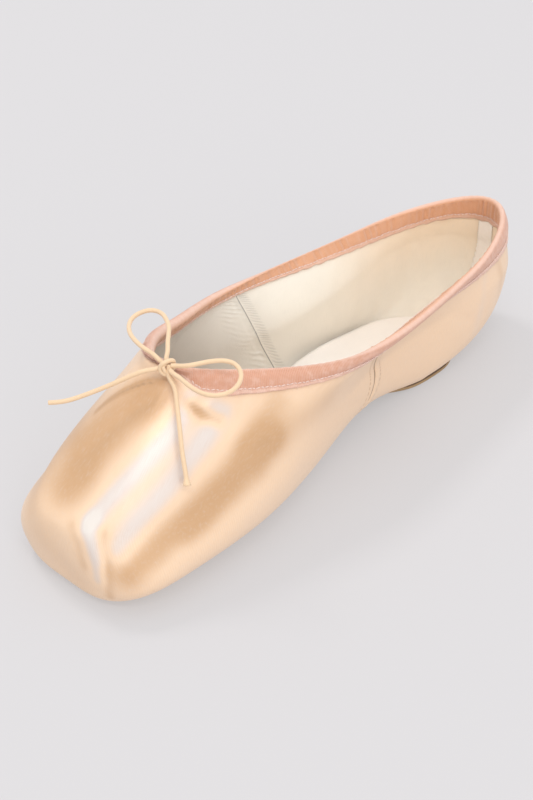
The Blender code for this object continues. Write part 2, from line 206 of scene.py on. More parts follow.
# Drawstring: its thickness, and the bow's places in mm across, along and above the shoe
CORD = 1.5 * MM
CORD_SIDES = 24
CORD_STEP = 0.3 * MM
KNOT_AT = (5.6, 46.3, 66.4)
BOW_ROUTES = {
    "loop_far": (
        (2.9, 46.3, 67.3), (-0.5, 46.3, 68.5), (-4, 46, 69.2), (-8.5, 46.3, 70), (-13, 48, 70.4),
        (-16.5, 51, 70.7), (-18.2, 54.3, 71), (-18.2, 58.1, 71.2), (-16.5, 61.3, 71.2),
        (-13.5, 62.3, 71), (-9.8, 61.2, 70.6), (-6, 58.7, 70), (-1.8, 54.1, 69), (1.8, 50.3, 68),
        (3.6, 48.1, 67.3),
    ),
    "loop_near": (
        (7.9, 47.6, 67.3), (11.6, 49.1, 68.2), (14.7, 53.3, 68.6), (17.6, 57.9, 68.4), (21, 60.2, 68),
        (24.7, 59.7, 67.2), (27.2, 57.5, 66.4), (28.6, 53.5, 65.4), (28, 49.5, 65), (25.9, 46.5, 65),
        (21.4, 44.7, 65.2), (16.4, 44.7, 65.6), (11.5, 45.3, 66), (8.3, 45.6, 66.2),
    ),
    "end_far": (
        (3.8, 44.2, 66.2), (1.6, 41.3, 65.8), (-2.4, 36.3, 63.8), (-7.1, 30.3, 60.8), (-11.4, 24.6, 58.5),
        (-15.1, 19.8, 57.2), (-18.4, 16.7, 56.8),
    ),
    "end_near": (
        (7.2, 45.3, 64.6), (10, 44.5, 62.6), (13.9, 42.1, 58.4), (18.5, 38.4, 53.4), (23, 34.9, 46.8),
        (26.9, 32.3, 41), (27.8, 31.6, 39.2),
    ),
}

# Knot's two turns and its strands' roots, in mm right of, above and in front of its centre in the photo
KNOT_RING = (
    (2.0, 1.9, 0.3), (0.9, 2.0, 1.2), (-0.6, 1.35, 1.75), (-1.75, 0.5, 1.4), (-2.15, -0.6, 0.8),
    (-1.6, -1.7, 0.4), (-0.4, -2.3, 0.1), (0.9, -1.9, -0.8), (1.7, -0.6, -1.5), (2.1, 0.9, -1.0),
)
KNOT_TURN = (
    (0.1, 1.2, 0.3), (-0.8, 0.5, 1.0), (-0.95, -0.5, 1.25), (-0.5, -1.45, 1.0), (0.0, -1.3, 0.4),
    (0.5, -0.3, -0.4), (0.5, 0.8, -0.5),
)
KNOT_TURNS = ((KNOT_RING, 0.70 * MM), (KNOT_TURN, 0.62 * MM))
KNOT_ROOTS = {
    "loop_far": ((-0.7, 0.9, -0.2), (0.1, 1.0, -0.6)),
    "loop_near": ((1.3, 0.5, 1.0), (0.9, -0.7, 0.9)),
    "end_far": ((-1.2, 0.3, 0.2), None),
    "end_near": ((0.8, 0.6, 1.1), None),
}

# Creases and ridges of the satin, one a row: height (below zero a trough), half-width and corners, all in mm
CREASES = (
    (-0.30, 2.0, (13.8, 48.9, 57.6), (16.2, 47.7, 54.1), (18.4, 48.7, 52.2), (21.4, 52, 49.9),
     (23, 55.5, 49.5)),
    (0.16, 3.0, (17, 51.8, 55), (20.6, 55.6, 52)),
    (0.45, 1.6, (9.6, 5.4, 29.1), (13.9, 3.2, 24.9), (16.5, 2.5, 20.6), (18.3, 2.6, 13), (18.5, 2.6, 7)),
    (-0.48, 1.9, (16.2, 8, 29), (17.6, 5, 25), (19.6, 4, 20), (20.6, 3.2, 13), (20.4, 3.2, 6.5)),
    (-0.38, 2.0, (5, 2.9, 27.4), (9, 1.4, 23), (12.2, 0.7, 18.3)),
    (0.16, 3.4, (-10, 2.6, 26.8), (-4, 0.6, 14)),
    (-0.18, 2.8, (-14.5, 3, 25.8), (-15.5, 1.2, 12)),
    (-0.14, 3.2, (-3, 0.8, 20), (3, 1.2, 6)),
    (-0.28, 3.0, (21.8, 160, 34), (22.6, 172, 26)),
    (-0.30, 3.2, (23.6, 180, 30), (24.4, 194, 20.5)),
    (0.22, 3.6, (23.5, 172, 31), (24.2, 185, 19)),
    (-0.22, 3.4, (23, 138, 30), (22.4, 150, 18)),
    (-0.24, 3.0, (27, 110, 27), (23.6, 127, 17)),
    (0.18, 3.2, (29.5, 102, 31), (24.6, 125, 24)),
    (-0.24, 3.0, (-27, 112, 26), (-23.6, 126, 17)),
    (-0.26, 3.4, (-22.3, 160, 33), (-23, 173, 24)),
    (-0.24, 3.2, (-24, 184, 30), (-24.5, 195, 20)),
    (-0.20, 4.0, (-30, 14, 20), (-32, 32, 12)),
    (-0.18, 4.0, (30.5, 12, 19), (33, 32, 11)),
    (-0.22, 3.4, (10, 232, 36), (20, 214, 26)),
    (-0.22, 3.4, (-12, 231, 36), (-20, 216, 24)),
)

# Bands painted into the satin's colour, one a row: amount (below zero painted shade, painted shadow and
# painted dark reflection in tan, above zero painted highlight in pale), half-width and corners in mm
PAINTED_LIGHT_BANDS = (
    (-0.82, 9.5, (-4.9, 11.5, 34.4), (-6.4, 23, 43.9), (-4.2, 32.5, 51.7), (1.3, 38.8, 56.6)),
    (0.85, 3.7, (13.4, 48, 57.4), (14.4, 43.7, 54.2), (15.4, 37.6, 50.2), (14.9, 30.6, 46.4),
     (13.2, 20.9, 40.5), (10.9, 12.6, 34.8), (9.4, 6.4, 30)),
    (0.80, 2.8, (10.2, 7, 30.5), (10.6, 4.4, 28), (13.4, 3.2, 25.2), (16.2, 2.5, 20), (17, 2.4, 14)),
    (-0.55, 1.9, (15.6, 6.8, 28.8), (17.4, 4.8, 25.2), (19.3, 3.8, 20.5), (20.3, 3.2, 13), (20.3, 3.2, 7)),
    (0.75, 4.6, (21.6, 51.5, 50.2), (22.6, 41.2, 44.7), (22.6, 27.2, 37), (21.4, 14.8, 29.9),
     (20.6, 7.6, 24)),
    (-0.40, 5.0, (27.6, 74, 49.5), (28.1, 65.1, 46.2), (28.8, 57.4, 42.4)),
    (-0.30, 5.5, (33.6, 58, 30), (32.6, 45.6, 27.1), (31, 30, 22)),
    (-0.36, 6.0, (-2, 16, 39), (3.1, 26.6, 47.2), (8.4, 44, 59.6)),
    (-0.85, 6.8, (30.7, 66, 39), (30.7, 52.6, 36.4), (29.7, 34.9, 28), (27.9, 20.8, 23.6),
     (25.4, 7.6, 17.5)),
    (-0.34, 8.5, (33.5, 96, 40.5), (32.3, 76, 40), (31.4, 66, 39)),
    (0.15, 7.0, (34, 78.2, 22), (35.6, 51.8, 18.6), (33.8, 30.2, 14.6), (31.2, 14.6, 10.9)),
    (-0.70, 10.0, (-30, 60, 44), (-25, 40, 46), (-22, 24, 40), (-24, 12, 28)),
    (-0.40, 2.6, (5, 2.9, 27.4), (9, 1.4, 23), (12.2, 0.7, 17)),
    (-0.30, 9.0, (-16, 3, 22), (-4, 1, 14), (8, 1, 9)),
    (-0.40, 3.2, (22.4, 211, 40), (21.6, 213, 32), (18, 214, 20)),
    (0.25, 3.4, (24.4, 199, 38), (24.2, 198, 26.4), (22, 196, 14)),
    # Painted shadow of the near loop, along the crease under it
    (-1.20, 2.4, (15, 47.4, 55.4), (16.4, 47.8, 54), (18.4, 48.9, 52.2), (21.6, 52.4, 49.8)),
    # Painted shadow of the far cord end
    (-0.75, 1.1, (5.1, 44.8, 61.9), (-1.2, 42, 59), (-7.1, 37.6, 55.2), (-10.8, 34.5, 51.3),
     (-13, 31.4, 48.3)),
    (0.35, 2.8, (18.8, 53.6, 54.5), (21.4, 56.5, 52)),
)

# Fixed colours: the painted highlight on the lit side of the lining's puckers, the floor's glow and the
# surroundings
PUCKER_PAINTED_HIGHLIGHT = (0.95, 0.90, 0.82)
FLOOR_GLOW = (1.0, 0.985, 0.99)
SURROUNDINGS = (0.94, 0.965, 1.0)

# Camera at the photo's angle; the focal length is in pixels of the photo's 800 pixel height
CAMERA_AT = np.array([267.476, -309.135, 309.859]) * MM
CAMERA_AZIMUTH = math.radians(42.736)
CAMERA_ELEVATION = math.radians(36.113)
CAMERA_ROLL = math.radians(0.482)
FOCAL_PIXELS = 1351.72
FRAME_HEIGHT_PIXELS = 800
SENSOR = 36.0
FLOOR_HALF = 4.0


# Arithmetic

def mix(start, end, share):
    """Value that is the start at share 0 and the end at share 1."""
    return start + (end - start) * share


def smooth_step(low, high, value):
    """Share from 0 at low to 1 at high, level at both ends."""
    share = np.clip((value - low) / (high - low), 0, 1)
    return share * share * (3 - 2 * share)


def bell(distance, width):
    """Bell curve of a distance: 1 in the middle and about a third at the width."""
    return np.exp(-(distance / width) ** 2)


def unit(vectors):
    """The same directions with length 1."""
    return vectors / np.linalg.norm(vectors, axis=-1, keepdims=True)


def run_along(points):
    """Distance along a line of points, from the first one to each of them."""
    return np.concatenate([[0], np.cumsum(np.linalg.norm(np.diff(points, axis=0), axis=1))])


def moved(points, directions, distance):
    """Points moved along their directions by a distance each."""
    return points + directions * np.asarray(distance)[..., None]


def along_shoe(points):
    """Distance of points back from the platform."""
    return points[..., 1] + MIDDLE


def place_in_shoe(place):
    """Metres for places given in mm across, along and above the shoe."""
    return np.array(place, float) * MM - (0, MIDDLE, 0)


def line_distance(points, corners):
    """Distance of every point from a line of straight segments, and its share of the way along the line."""
    run = run_along(corners)
    nearest = np.full(points.shape[:-1], np.inf)
    along = np.zeros(points.shape[:-1])
    for k in range(len(corners) - 1):
        line = corners[k + 1] - corners[k]
        share = np.clip(((points - corners[k]) @ line) / (line @ line), 0, 1)
        distance = np.linalg.norm(points - (corners[k] + share[..., None] * line), axis=-1)
        closer = distance < nearest
        nearest = np.where(closer, distance, nearest)
        along = np.where(closer, mix(run[k], run[k + 1], share) / run[-1], along)
    return nearest, along


def spline_weights(knots, at):
    """Matrix that turns values at the knots into a natural cubic spline read at the given places."""
    count = len(knots)
    step = np.diff(knots)
    bend = np.eye(count)
    load = np.zeros((count, count))
    for i in range(1, count - 1):
        bend[i, i - 1:i + 2] = step[i - 1], 2 * (step[i - 1] + step[i]), step[i]
        load[i, i - 1:i + 2] = 6 / step[i - 1], -6 / step[i - 1] - 6 / step[i], 6 / step[i]
    curvature = np.linalg.solve(bend, load)
    pick = np.eye(count)
    at = np.atleast_1d(at)
    i = np.clip(np.searchsorted(knots, at) - 1, 0, count - 2)
    after = (at - knots[i])[:, None]
    before = (knots[i + 1] - at)[:, None]
    h = step[i][:, None]
    cubic = (curvature[i] * before ** 3 + curvature[i + 1] * after ** 3) / (6 * h)
    start = (pick[i] / h - curvature[i] * h / 6) * before
    end = (pick[i + 1] / h - curvature[i + 1] * h / 6) * after
    return cubic + start + end


def smooth_line(corners, step):
    """Points at even steps along a natural cubic spline through the corners."""
    run = run_along(corners)
    count = max(4, round(run[-1] / step) + 1)
    return spline_weights(run, np.linspace(0, run[-1], count)) @ corners


def closed_line(corners, count):
    """Points on a smooth closed line through the corners: their Fourier series, at even steps."""
    series = np.fft.rfft(corners, axis=0)
    share = np.arange(count) / count
    n = np.arange(len(series))
    wave = np.exp(2j * np.pi * share[:, None] * n[None, :])
    wave[:, 1:] *= 2
    if len(corners) % 2 == 0:
        wave[:, -1] /= 2
    return (wave @ series).real / len(corners)


# Surface of the last

def lower_level(v, angle, front, toe, z_toe):
    """Level on the round from the sole edge (0 degrees) out to the widest level (90 degrees)."""
    inward = 1 - math.sin(math.radians(angle))
    rise = 1 - math.cos(math.radians(angle))
    edge = SOLE_THICK + CURVED_GAP
    return (v, front, LENGTH - TUCK_BACK * inward, toe, BALL_HALF - TUCK_BALL * inward,
            WAIST_HALF - TUCK_SIDE * inward, HEEL_HALF - TUCK_SIDE * inward, z_toe,
            mix(edge, WIDE_BALL, rise), mix(edge, WIDE_WAIST, rise), mix(edge, WIDE_HEEL, rise))


def upper_level(v, climb, drawn_in, front, toe, ball, z_toe):
    """Level above the widest one: climb is its share of the way up the side, drawn_in towards the collar."""
    return (v, front, LENGTH, toe, ball,
            mix(WAIST_HALF, COLLAR_WAIST_HALF, drawn_in), mix(HEEL_HALF, COLLAR_HEEL_HALF, drawn_in), z_toe,
            mix(WIDE_BALL, COLLAR_BALL, climb), mix(WIDE_WAIST, COLLAR_WAIST, climb),
            mix(WIDE_HEEL, COLLAR_HEEL, climb))


def last_levels():
    """Rings of the last from the sole edge (v = 0) to the collar (v = 1), one row each."""
    edge = SOLE_THICK + CURVED_GAP
    face = PLATFORM_TOP - BOX_FOOT
    vamp = THROAT_HEIGHT - PLATFORM_TOP
    return np.array([
        lower_level(v=0.00, angle=0, front=TUCK_TOE, toe=SOLE_EDGE_HALF, z_toe=edge),
        lower_level(v=0.12, angle=30, front=BOX_FOOT_BACK, toe=BOX_FOOT_HALF, z_toe=BOX_FOOT),
        lower_level(v=0.24, angle=60, front=BOX_LOW_BACK, toe=BOX_LOW_HALF, z_toe=BOX_FOOT + 0.2 * face),
        lower_level(v=V_WIDE, angle=90, front=0.0, toe=BOX_HALF, z_toe=BOX_FOOT + 0.5 * face),
        upper_level(v=0.50, climb=0.28, drawn_in=0.0, front=BOX_LEAN, toe=PLATFORM_HALF,
                    ball=BALL_SHOULDER_HALF, z_toe=BOX_FOOT + 0.9 * face),
        upper_level(v=0.64, climb=0.56, drawn_in=0.3, front=mix(BOX_LEAN, THROAT_BACK, 0.13),
                    toe=BOX_RIDGE_HALF, ball=BALL_RIDGE_HALF, z_toe=PLATFORM_TOP + 0.10 * vamp),
        upper_level(v=0.82, climb=0.82, drawn_in=0.65, front=mix(BOX_LEAN, THROAT_BACK, 0.54),
                    toe=mix(PLATFORM_HALF, THROAT_HALF, 0.5),
                    ball=mix(BALL_RIDGE_HALF, COLLAR_BALL_HALF, 0.5), z_toe=PLATFORM_TOP + 0.55 * vamp),
        upper_level(v=1.00, climb=1.0, drawn_in=1.0, front=THROAT_BACK, toe=THROAT_HALF,
                    ball=COLLAR_BALL_HALF, z_toe=THROAT_HEIGHT),
    ])


LEVELS = last_levels()


def arch(s):
    """Height of the sole line over the floor: a squared sine between ball and heel, flat under both."""
    share = np.clip((s - ARCH_FRONT) / (ARCH_BACK - ARCH_FRONT), 0, 1)
    return ARCH_RISE * np.sin(np.pi * share) ** 2


def ring_plan(turn):
    """Share of the length and of the half-width at each turn: superellipse quarters at toe and heel."""
    toe = np.clip(turn / TOE_TURN, 0, 1) * np.pi / 2
    heel = np.clip((1 - turn) / HEEL_TURN, 0, 1) * np.pi / 2
    toe_end = TOE_ROUND * (1 - np.cos(toe) ** (2 / TOE_SQUARE))
    heel_end = 1 - HEEL_ROUND * (1 - np.cos(heel) ** (2 / HEEL_SQUARE))
    side = TOE_ROUND + (1 - TOE_ROUND - HEEL_ROUND) * (turn - TOE_TURN) / (1 - TOE_TURN - HEEL_TURN)
    along = np.where(turn < TOE_TURN, toe_end, np.where(turn > 1 - HEEL_TURN, heel_end, side))
    across = np.sin(toe) ** (2 / TOE_SQUARE) * np.sin(heel) ** (2 / HEEL_SQUARE)
    across = np.where((turn < 1e-9) | (turn > 1 - 1e-9), 0, across)
    return along, across


def last_point(turn, v):
    """Outer face on the +X half: each ring's sizes are splines over v, its widths and heights splines
    along it."""
    turn, v = np.broadcast_arrays(np.asarray(turn, float), np.asarray(v, float))
    ring = spline_weights(LEVELS[:, 0], v.ravel()) @ LEVELS
    column = dict(zip(LEVEL_COLUMNS, ring.T))
    along, across = ring_plan(turn.ravel())
    widths = np.stack([column[name] for name in ("toe", "ball", "waist", "heel")], axis=1)
    heights = np.stack([column[name] for name in ("z_toe", "z_ball", "z_waist", "z_heel")], axis=1)
    half = (spline_weights(WIDTH_AT, along) * widths).sum(axis=1)
    s = column["front"] + (column["back"] - column["front"]) * along
    height = (spline_weights(HEIGHT_AT, along) * heights).sum(axis=1)
    share = np.clip(v.ravel() / V_WIDE, 0, 1)
    height = height + arch(s) * (1 - share ** 2) ** 2
    return np.stack([half * across, s - MIDDLE, height], axis=1).reshape(turn.shape + (3,))


def last_normal(turn, v):
    """Outward unit normal of the outer face, from differences of nearby points."""
    step = 1e-4
    turn, v = np.broadcast_arrays(np.asarray(turn, float), np.asarray(v, float))
    up = last_point(turn, np.minimum(v + step, 1)) - last_point(turn, np.maximum(v - step, 0))
    back = last_point(np.minimum(turn + step, 1), v) - last_point(np.maximum(turn - step, 0), v)
    normal = np.cross(back, up)
    on_plane = (turn < step) | (turn > 1 - step)
    normal[..., 0] = np.where(on_plane, 0, normal[..., 0])
    return unit(normal)


def wall(s):
    """Thickness of the upper: stiffened toe box in front, thin satin and lining behind."""
    return mix(WALL_BOX, WALL_SIDE, smooth_step(BOX_END, SIDE_START, s))


def throat_push(points, v):
    """Sideways push that rounds the far corner of the throat: a bell round it, stronger towards the rim."""
    beside = bell(along_shoe(points) - THROAT_CORNER, THROAT_CORNER_REACH)
    return THROAT_ROUNDING * beside * smooth_step(0.70, 1.0, v)


def even_turns(count):
    """Turns that lie at equal distances along the widest ring."""
    fine = np.linspace(0, 1, 3001)
    run = run_along(last_point(fine, V_WIDE))
    return np.interp(np.linspace(0, run[-1], count), run, fine)


class Loop:
    """Even steps round the whole shoe: front centre, +X side, back centre, -X side and back to the front."""

    def __init__(self, count):
        half = even_turns(count // 2 + 1)
        self.turn = np.concatenate([half, half[-2:0:-1]])
        self.side = np.concatenate([np.ones(count // 2 + 1), -np.ones(count // 2 - 1)])
        outline = self.point(V_WIDE)
        self.run = run_along(np.concatenate([outline, outline[:1]]))
        self.rim = self.point(1.0)

    def flip(self, vectors):
        """Vectors of the +X half, mirrored where the loop is on the -X side."""
        same = np.ones_like(self.side)
        return vectors * np.stack([self.side, same, same], axis=-1)

    def point(self, v):
        """One row of points at one v, or at a v for every turn."""
        points = self.flip(last_point(self.turn, v))
        points[..., 0] -= throat_push(points, v) * (self.side < 0)
        return points

    def normal(self, v):
        """Outward unit normals of one row of points."""
        return self.flip(last_normal(self.turn, v))

    def grid(self, rows):
        """Points and normals of several rows; each row is one v, or a v for every turn."""
        points = np.stack([self.point(v) for v in rows])
        normals = np.stack([self.normal(v) for v in rows])
        return points, normals

    def from_rim(self, points):
        """Distance of rows of points from the rim."""
        return np.linalg.norm(points - self.rim, axis=-1)

    def below_collar(self, distances):
        """The v's at which the wall is so far below the collar, one row for each distance."""
        v = np.linspace(1, 0.5, 301)
        path = last_point(self.turn[:, None], v[None, :])
        run = np.cumsum(np.linalg.norm(np.diff(path, axis=1), axis=2), axis=1)
        run = np.concatenate([np.zeros((len(self.turn), 1)), run], axis=1)
        rows = np.arange(len(self.turn))
        found = []
        for distance in distances:
            distance = np.broadcast_to(distance, self.turn.shape)
            k = np.clip((run < distance[:, None]).sum(axis=1), 1, len(v) - 1)
            share = (distance - run[rows, k - 1]) / (run[rows, k] - run[rows, k - 1])
            found.append(mix(v[k - 1], v[k], share))
        return found

    def slide(self, points):
        """How far the points of one row lie ahead of their own places on the rim, measured along the
        loop."""
        step = np.roll(self.rim, -1, axis=0) - np.roll(self.rim, 1, axis=0)
        length = np.linalg.norm(step, axis=1)
        closed = np.concatenate([self.run[-2:-1] - self.run[-1], self.run])
        ratio = (closed[2:] - closed[:-2]) / length
        return np.sum((points - self.rim) * step, axis=-1) / length * ratio

    def straight(self, wave, points):
        """A wave read so that its ridges stand square to the rim down the points of one row."""
        run = self.run[:-1]
        return np.interp(run + self.slide(points), run, wave, period=self.run[-1])

    def waves(self, spacing, seed, parts=5):
        """Irregular ripple round the loop: sines of whole wave counts near one spacing, random phases,
        height 1."""
        random = np.random.default_rng(seed)
        total = self.run[-1]
        counts = np.round(total / spacing * random.uniform(0.72, 1.32, parts))
        phases = random.uniform(0, 2 * np.pi, parts)
        share = self.run[:-1] / total
        return sum(np.sin(2 * np.pi * n * share + p) for n, p in zip(counts, phases)) / math.sqrt(parts)


def wall_at(points):
    """Thickness of the wall at points of the outer face."""
    return wall(along_shoe(points))


def pared_wall(loop, points):
    """Thickness of the wall, pared by a third at the rim, where the tape folds over it."""
    return wall_at(points) * (1 - PARED_SHARE * smooth_step(BAND, 1 * MM, loop.from_rim(points)))


def heel_centre(points):
    """Share that is 1 over the back of the heel and 0 elsewhere."""
    return smooth_step(LENGTH - 24 * MM, LENGTH - 12 * MM, along_shoe(points))


def taper(loop):
    """Share of the tape's width at every place round the collar: it runs out to a point under the knot."""
    away = np.hypot(loop.rim[:, 0] - place_in_shoe(KNOT_AT)[0] * 0.4, loop.rim[:, 1] - loop.rim[0, 1])
    reach = np.where(loop.side > 0, TAPER_NEAR, TAPER_FAR)
    return mix(TAPER_POINT, 1.0, smooth_step(TAPER_START, reach, away))


def tape_width(loop):
    """Width of the tape's outer leg: tapered to the knot, and a quarter wider along the near waist."""
    waist = bell(along_shoe(loop.rim) - WIDER_AT, WIDER_REACH) * smooth_step(-0.5, 0.5, loop.side)
    return BAND * taper(loop) * (1 + WIDER_SHARE * waist)


# Meshes from arrays of points

def grid_faces(rows, columns, close_rows, close_columns):
    """Quads of a grid of points, and the row and column that each one starts from."""
    last_row = rows if close_rows else rows - 1
    last_column = columns if close_columns else columns - 1
    i, j = np.meshgrid(np.arange(last_row), np.arange(last_column), indexing="ij")
    i, j = i.ravel(), j.ravel()
    here, below, right = i * columns, (i + 1) % rows * columns, (j + 1) % columns
    return np.stack([here + j, here + right, below + right, below + j], axis=1), i, j


def grid_mesh(name, points, close_rows=False, close_columns=False, uv=None, caps=None):
    """Quads over rows and columns of points. `uv` has one more row or column where the grid closes on
    itself. Caps close the first and last row: "ring" with one face each, "strip" with quads from side to
    side."""
    rows, columns = points.shape[:2]
    quads, i, j = grid_faces(rows, columns, close_rows, close_columns)
    faces = quads.tolist()
    last = (rows - 1) * columns
    if caps == "strip":
        k = np.arange(columns // 2 - 1)
        strip = np.stack([k, k + 1, columns - 2 - k, columns - 1 - k], axis=1)
        faces += strip[:, ::-1].tolist() + (strip + last).tolist()
    elif caps == "ring":
        around = np.arange(columns)
        faces += [around[::-1].tolist(), (around + last).tolist()]
    mesh = bpy.data.meshes.new(name)
    mesh.from_pydata(points.reshape(-1, 3).tolist(), [], faces)
    if uv is not None:
        corners = np.stack([uv[i, j], uv[i, j + 1], uv[i + 1, j + 1], uv[i + 1, j]], axis=1).reshape(-1, 2)
        if caps == "ring":
            corners = np.concatenate([corners, np.zeros((2 * columns, 2))])
        set_uv(mesh, corners)
    mesh.shade_smooth()
    return mesh


def set_uv(mesh, corners):
    """UV map of the cloth, one pair for each corner of each face."""
    layer = mesh.uv_layers.new(name="cloth")
    layer.data.foreach_set("uv", corners.astype(np.float32).ravel())


def set_attribute(mesh, name, values):
    """One number for every vertex, for the material to read."""
    layer = mesh.attributes.new(name, "FLOAT", "POINT")
    layer.data.foreach_set("value", np.asarray(values, np.float32).ravel())


def grid_uv(run, heights):
    """UV map in metres: distance along the columns, and distance along the rows."""
    return np.stack(np.meshgrid(run, heights), axis=-1)


def wall_heights(rows, returning):
    """UV heights of a shell: up its first face by v, and on by as much again over the rows that return."""
    return np.concatenate([rows, 1 + np.linspace(0.01, 1, returning)]) * WALL_HEIGHT


def circles(along, toward, sides):
    """Directions at even angles round each place of a path, square to it: cosine x up + sine x aside."""
    aside = unit(np.cross(along, toward))
    up = np.cross(aside, along)
    angle = np.linspace(0, 2 * np.pi, sides, endpoint=False)[:, None]
    return np.cos(angle) * up[:, None] + np.sin(angle) * aside[:, None]


def ring_tube(corners, radius, count=96, sides=16):
    """Rings of a closed tube along a smooth closed line."""
    path = closed_line(corners, count)
    along = unit(np.roll(path, -1, axis=0) - np.roll(path, 1, axis=0))
    return path[:, None] + radius * circles(along, path - path.mean(axis=0), sides)


def cord_tube(name, path, radius):
    """Cord round a path: rings square to it, radius times the braid's relief, rounded and closed at its
    ends."""
    run = run_along(path)
    along = unit(np.gradient(path, axis=0))
    angle = np.linspace(0, 2 * np.pi, CORD_SIDES, endpoint=False)
    size = radius[:, None] * braid(angle[None, :], run[:, None])
    rings = path[:, None] + size[..., None] * circles(along, (0.03, 0.05, 1.0), CORD_SIDES)
    lead = []
    tail = []
    for reach, shrink in ((0.2, 0.55), (0.12, 0.86)):
        lead.append(path[0] + (rings[0] - path[0]) * shrink - along[0] * size[0, 0] * reach)
        tail.append(path[-1] + (rings[-1] - path[-1]) * shrink + along[-1] * size[-1, 0] * reach)
    rings = np.concatenate([np.stack(lead), rings, np.stack(tail[::-1])])
    middle = radius.mean()
    runs = np.concatenate([[-middle, -0.5 * middle], run, run[-1:], run[-1:]])
    uv = grid_uv(np.linspace(0, 2 * np.pi * middle, CORD_SIDES + 1), runs)
    return grid_mesh(name, rings[:, ::-1], close_columns=True, uv=uv, caps="ring")


def braid(angle, run):
    """Relief of a braided cord, a few hundredths of its radius: two sets of strands wind opposite ways."""
    turn = run * 2 * np.pi / (4.2 * MM)
    return 1 + 0.035 * np.maximum(np.cos(4 * angle + 4 * turn), np.cos(4 * angle - 4 * turn))


def capsules(name, starts, ends, outs, radius, skin, sag, sides, rings):
    """Many short threads as one mesh: bowed tubes from a start to an end, thin at both, bulging outwards."""
    share = np.linspace(0, 1, rings)
    bow = np.sin(np.pi * share)
    centre = starts[:, None] + (ends - starts)[:, None] * share[None, :, None]
    centre = centre + outs[:, None] * (bow * sag * radius)[None, :, None]
    size = radius * (0.35 + 0.65 * np.sqrt(np.clip(bow, 0, 1)))
    around = circles(unit(ends - starts), outs, sides)
    points = centre[:, :, None] + around[:, None] * size[None, :, None, None]
    first_of_each = (np.arange(len(starts)) * rings * sides)[:, None, None]
    quads = grid_faces(rings, sides, False, True)[0][:, [1, 0, 3, 2]]
    faces = (quads + first_of_each).reshape(-1, 4).tolist()
    first = np.arange(sides)
    caps = np.stack([first, (first + (rings - 1) * sides)[::-1]])
    faces += (caps + first_of_each).reshape(-1, sides).tolist()
    mesh = bpy.data.meshes.new(name)
    mesh.from_pydata(points.reshape(-1, 3).tolist(), [], faces)
    mesh.shade_smooth()
    return add_piece(name, mesh, skin, "binding_tape")


def add_piece(name, mesh, skin, slot, *nodes):
    """Object of the shoe: its material, and the CAD nodes that it stands for; the slot is not used."""
    made = bpy.data.objects.new(name, mesh)
    mesh.materials.append(skin)
    bpy.context.scene.collection.objects.link(made)
    if nodes:
        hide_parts(*nodes)
    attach(made, BODY)
    return made


# Materials

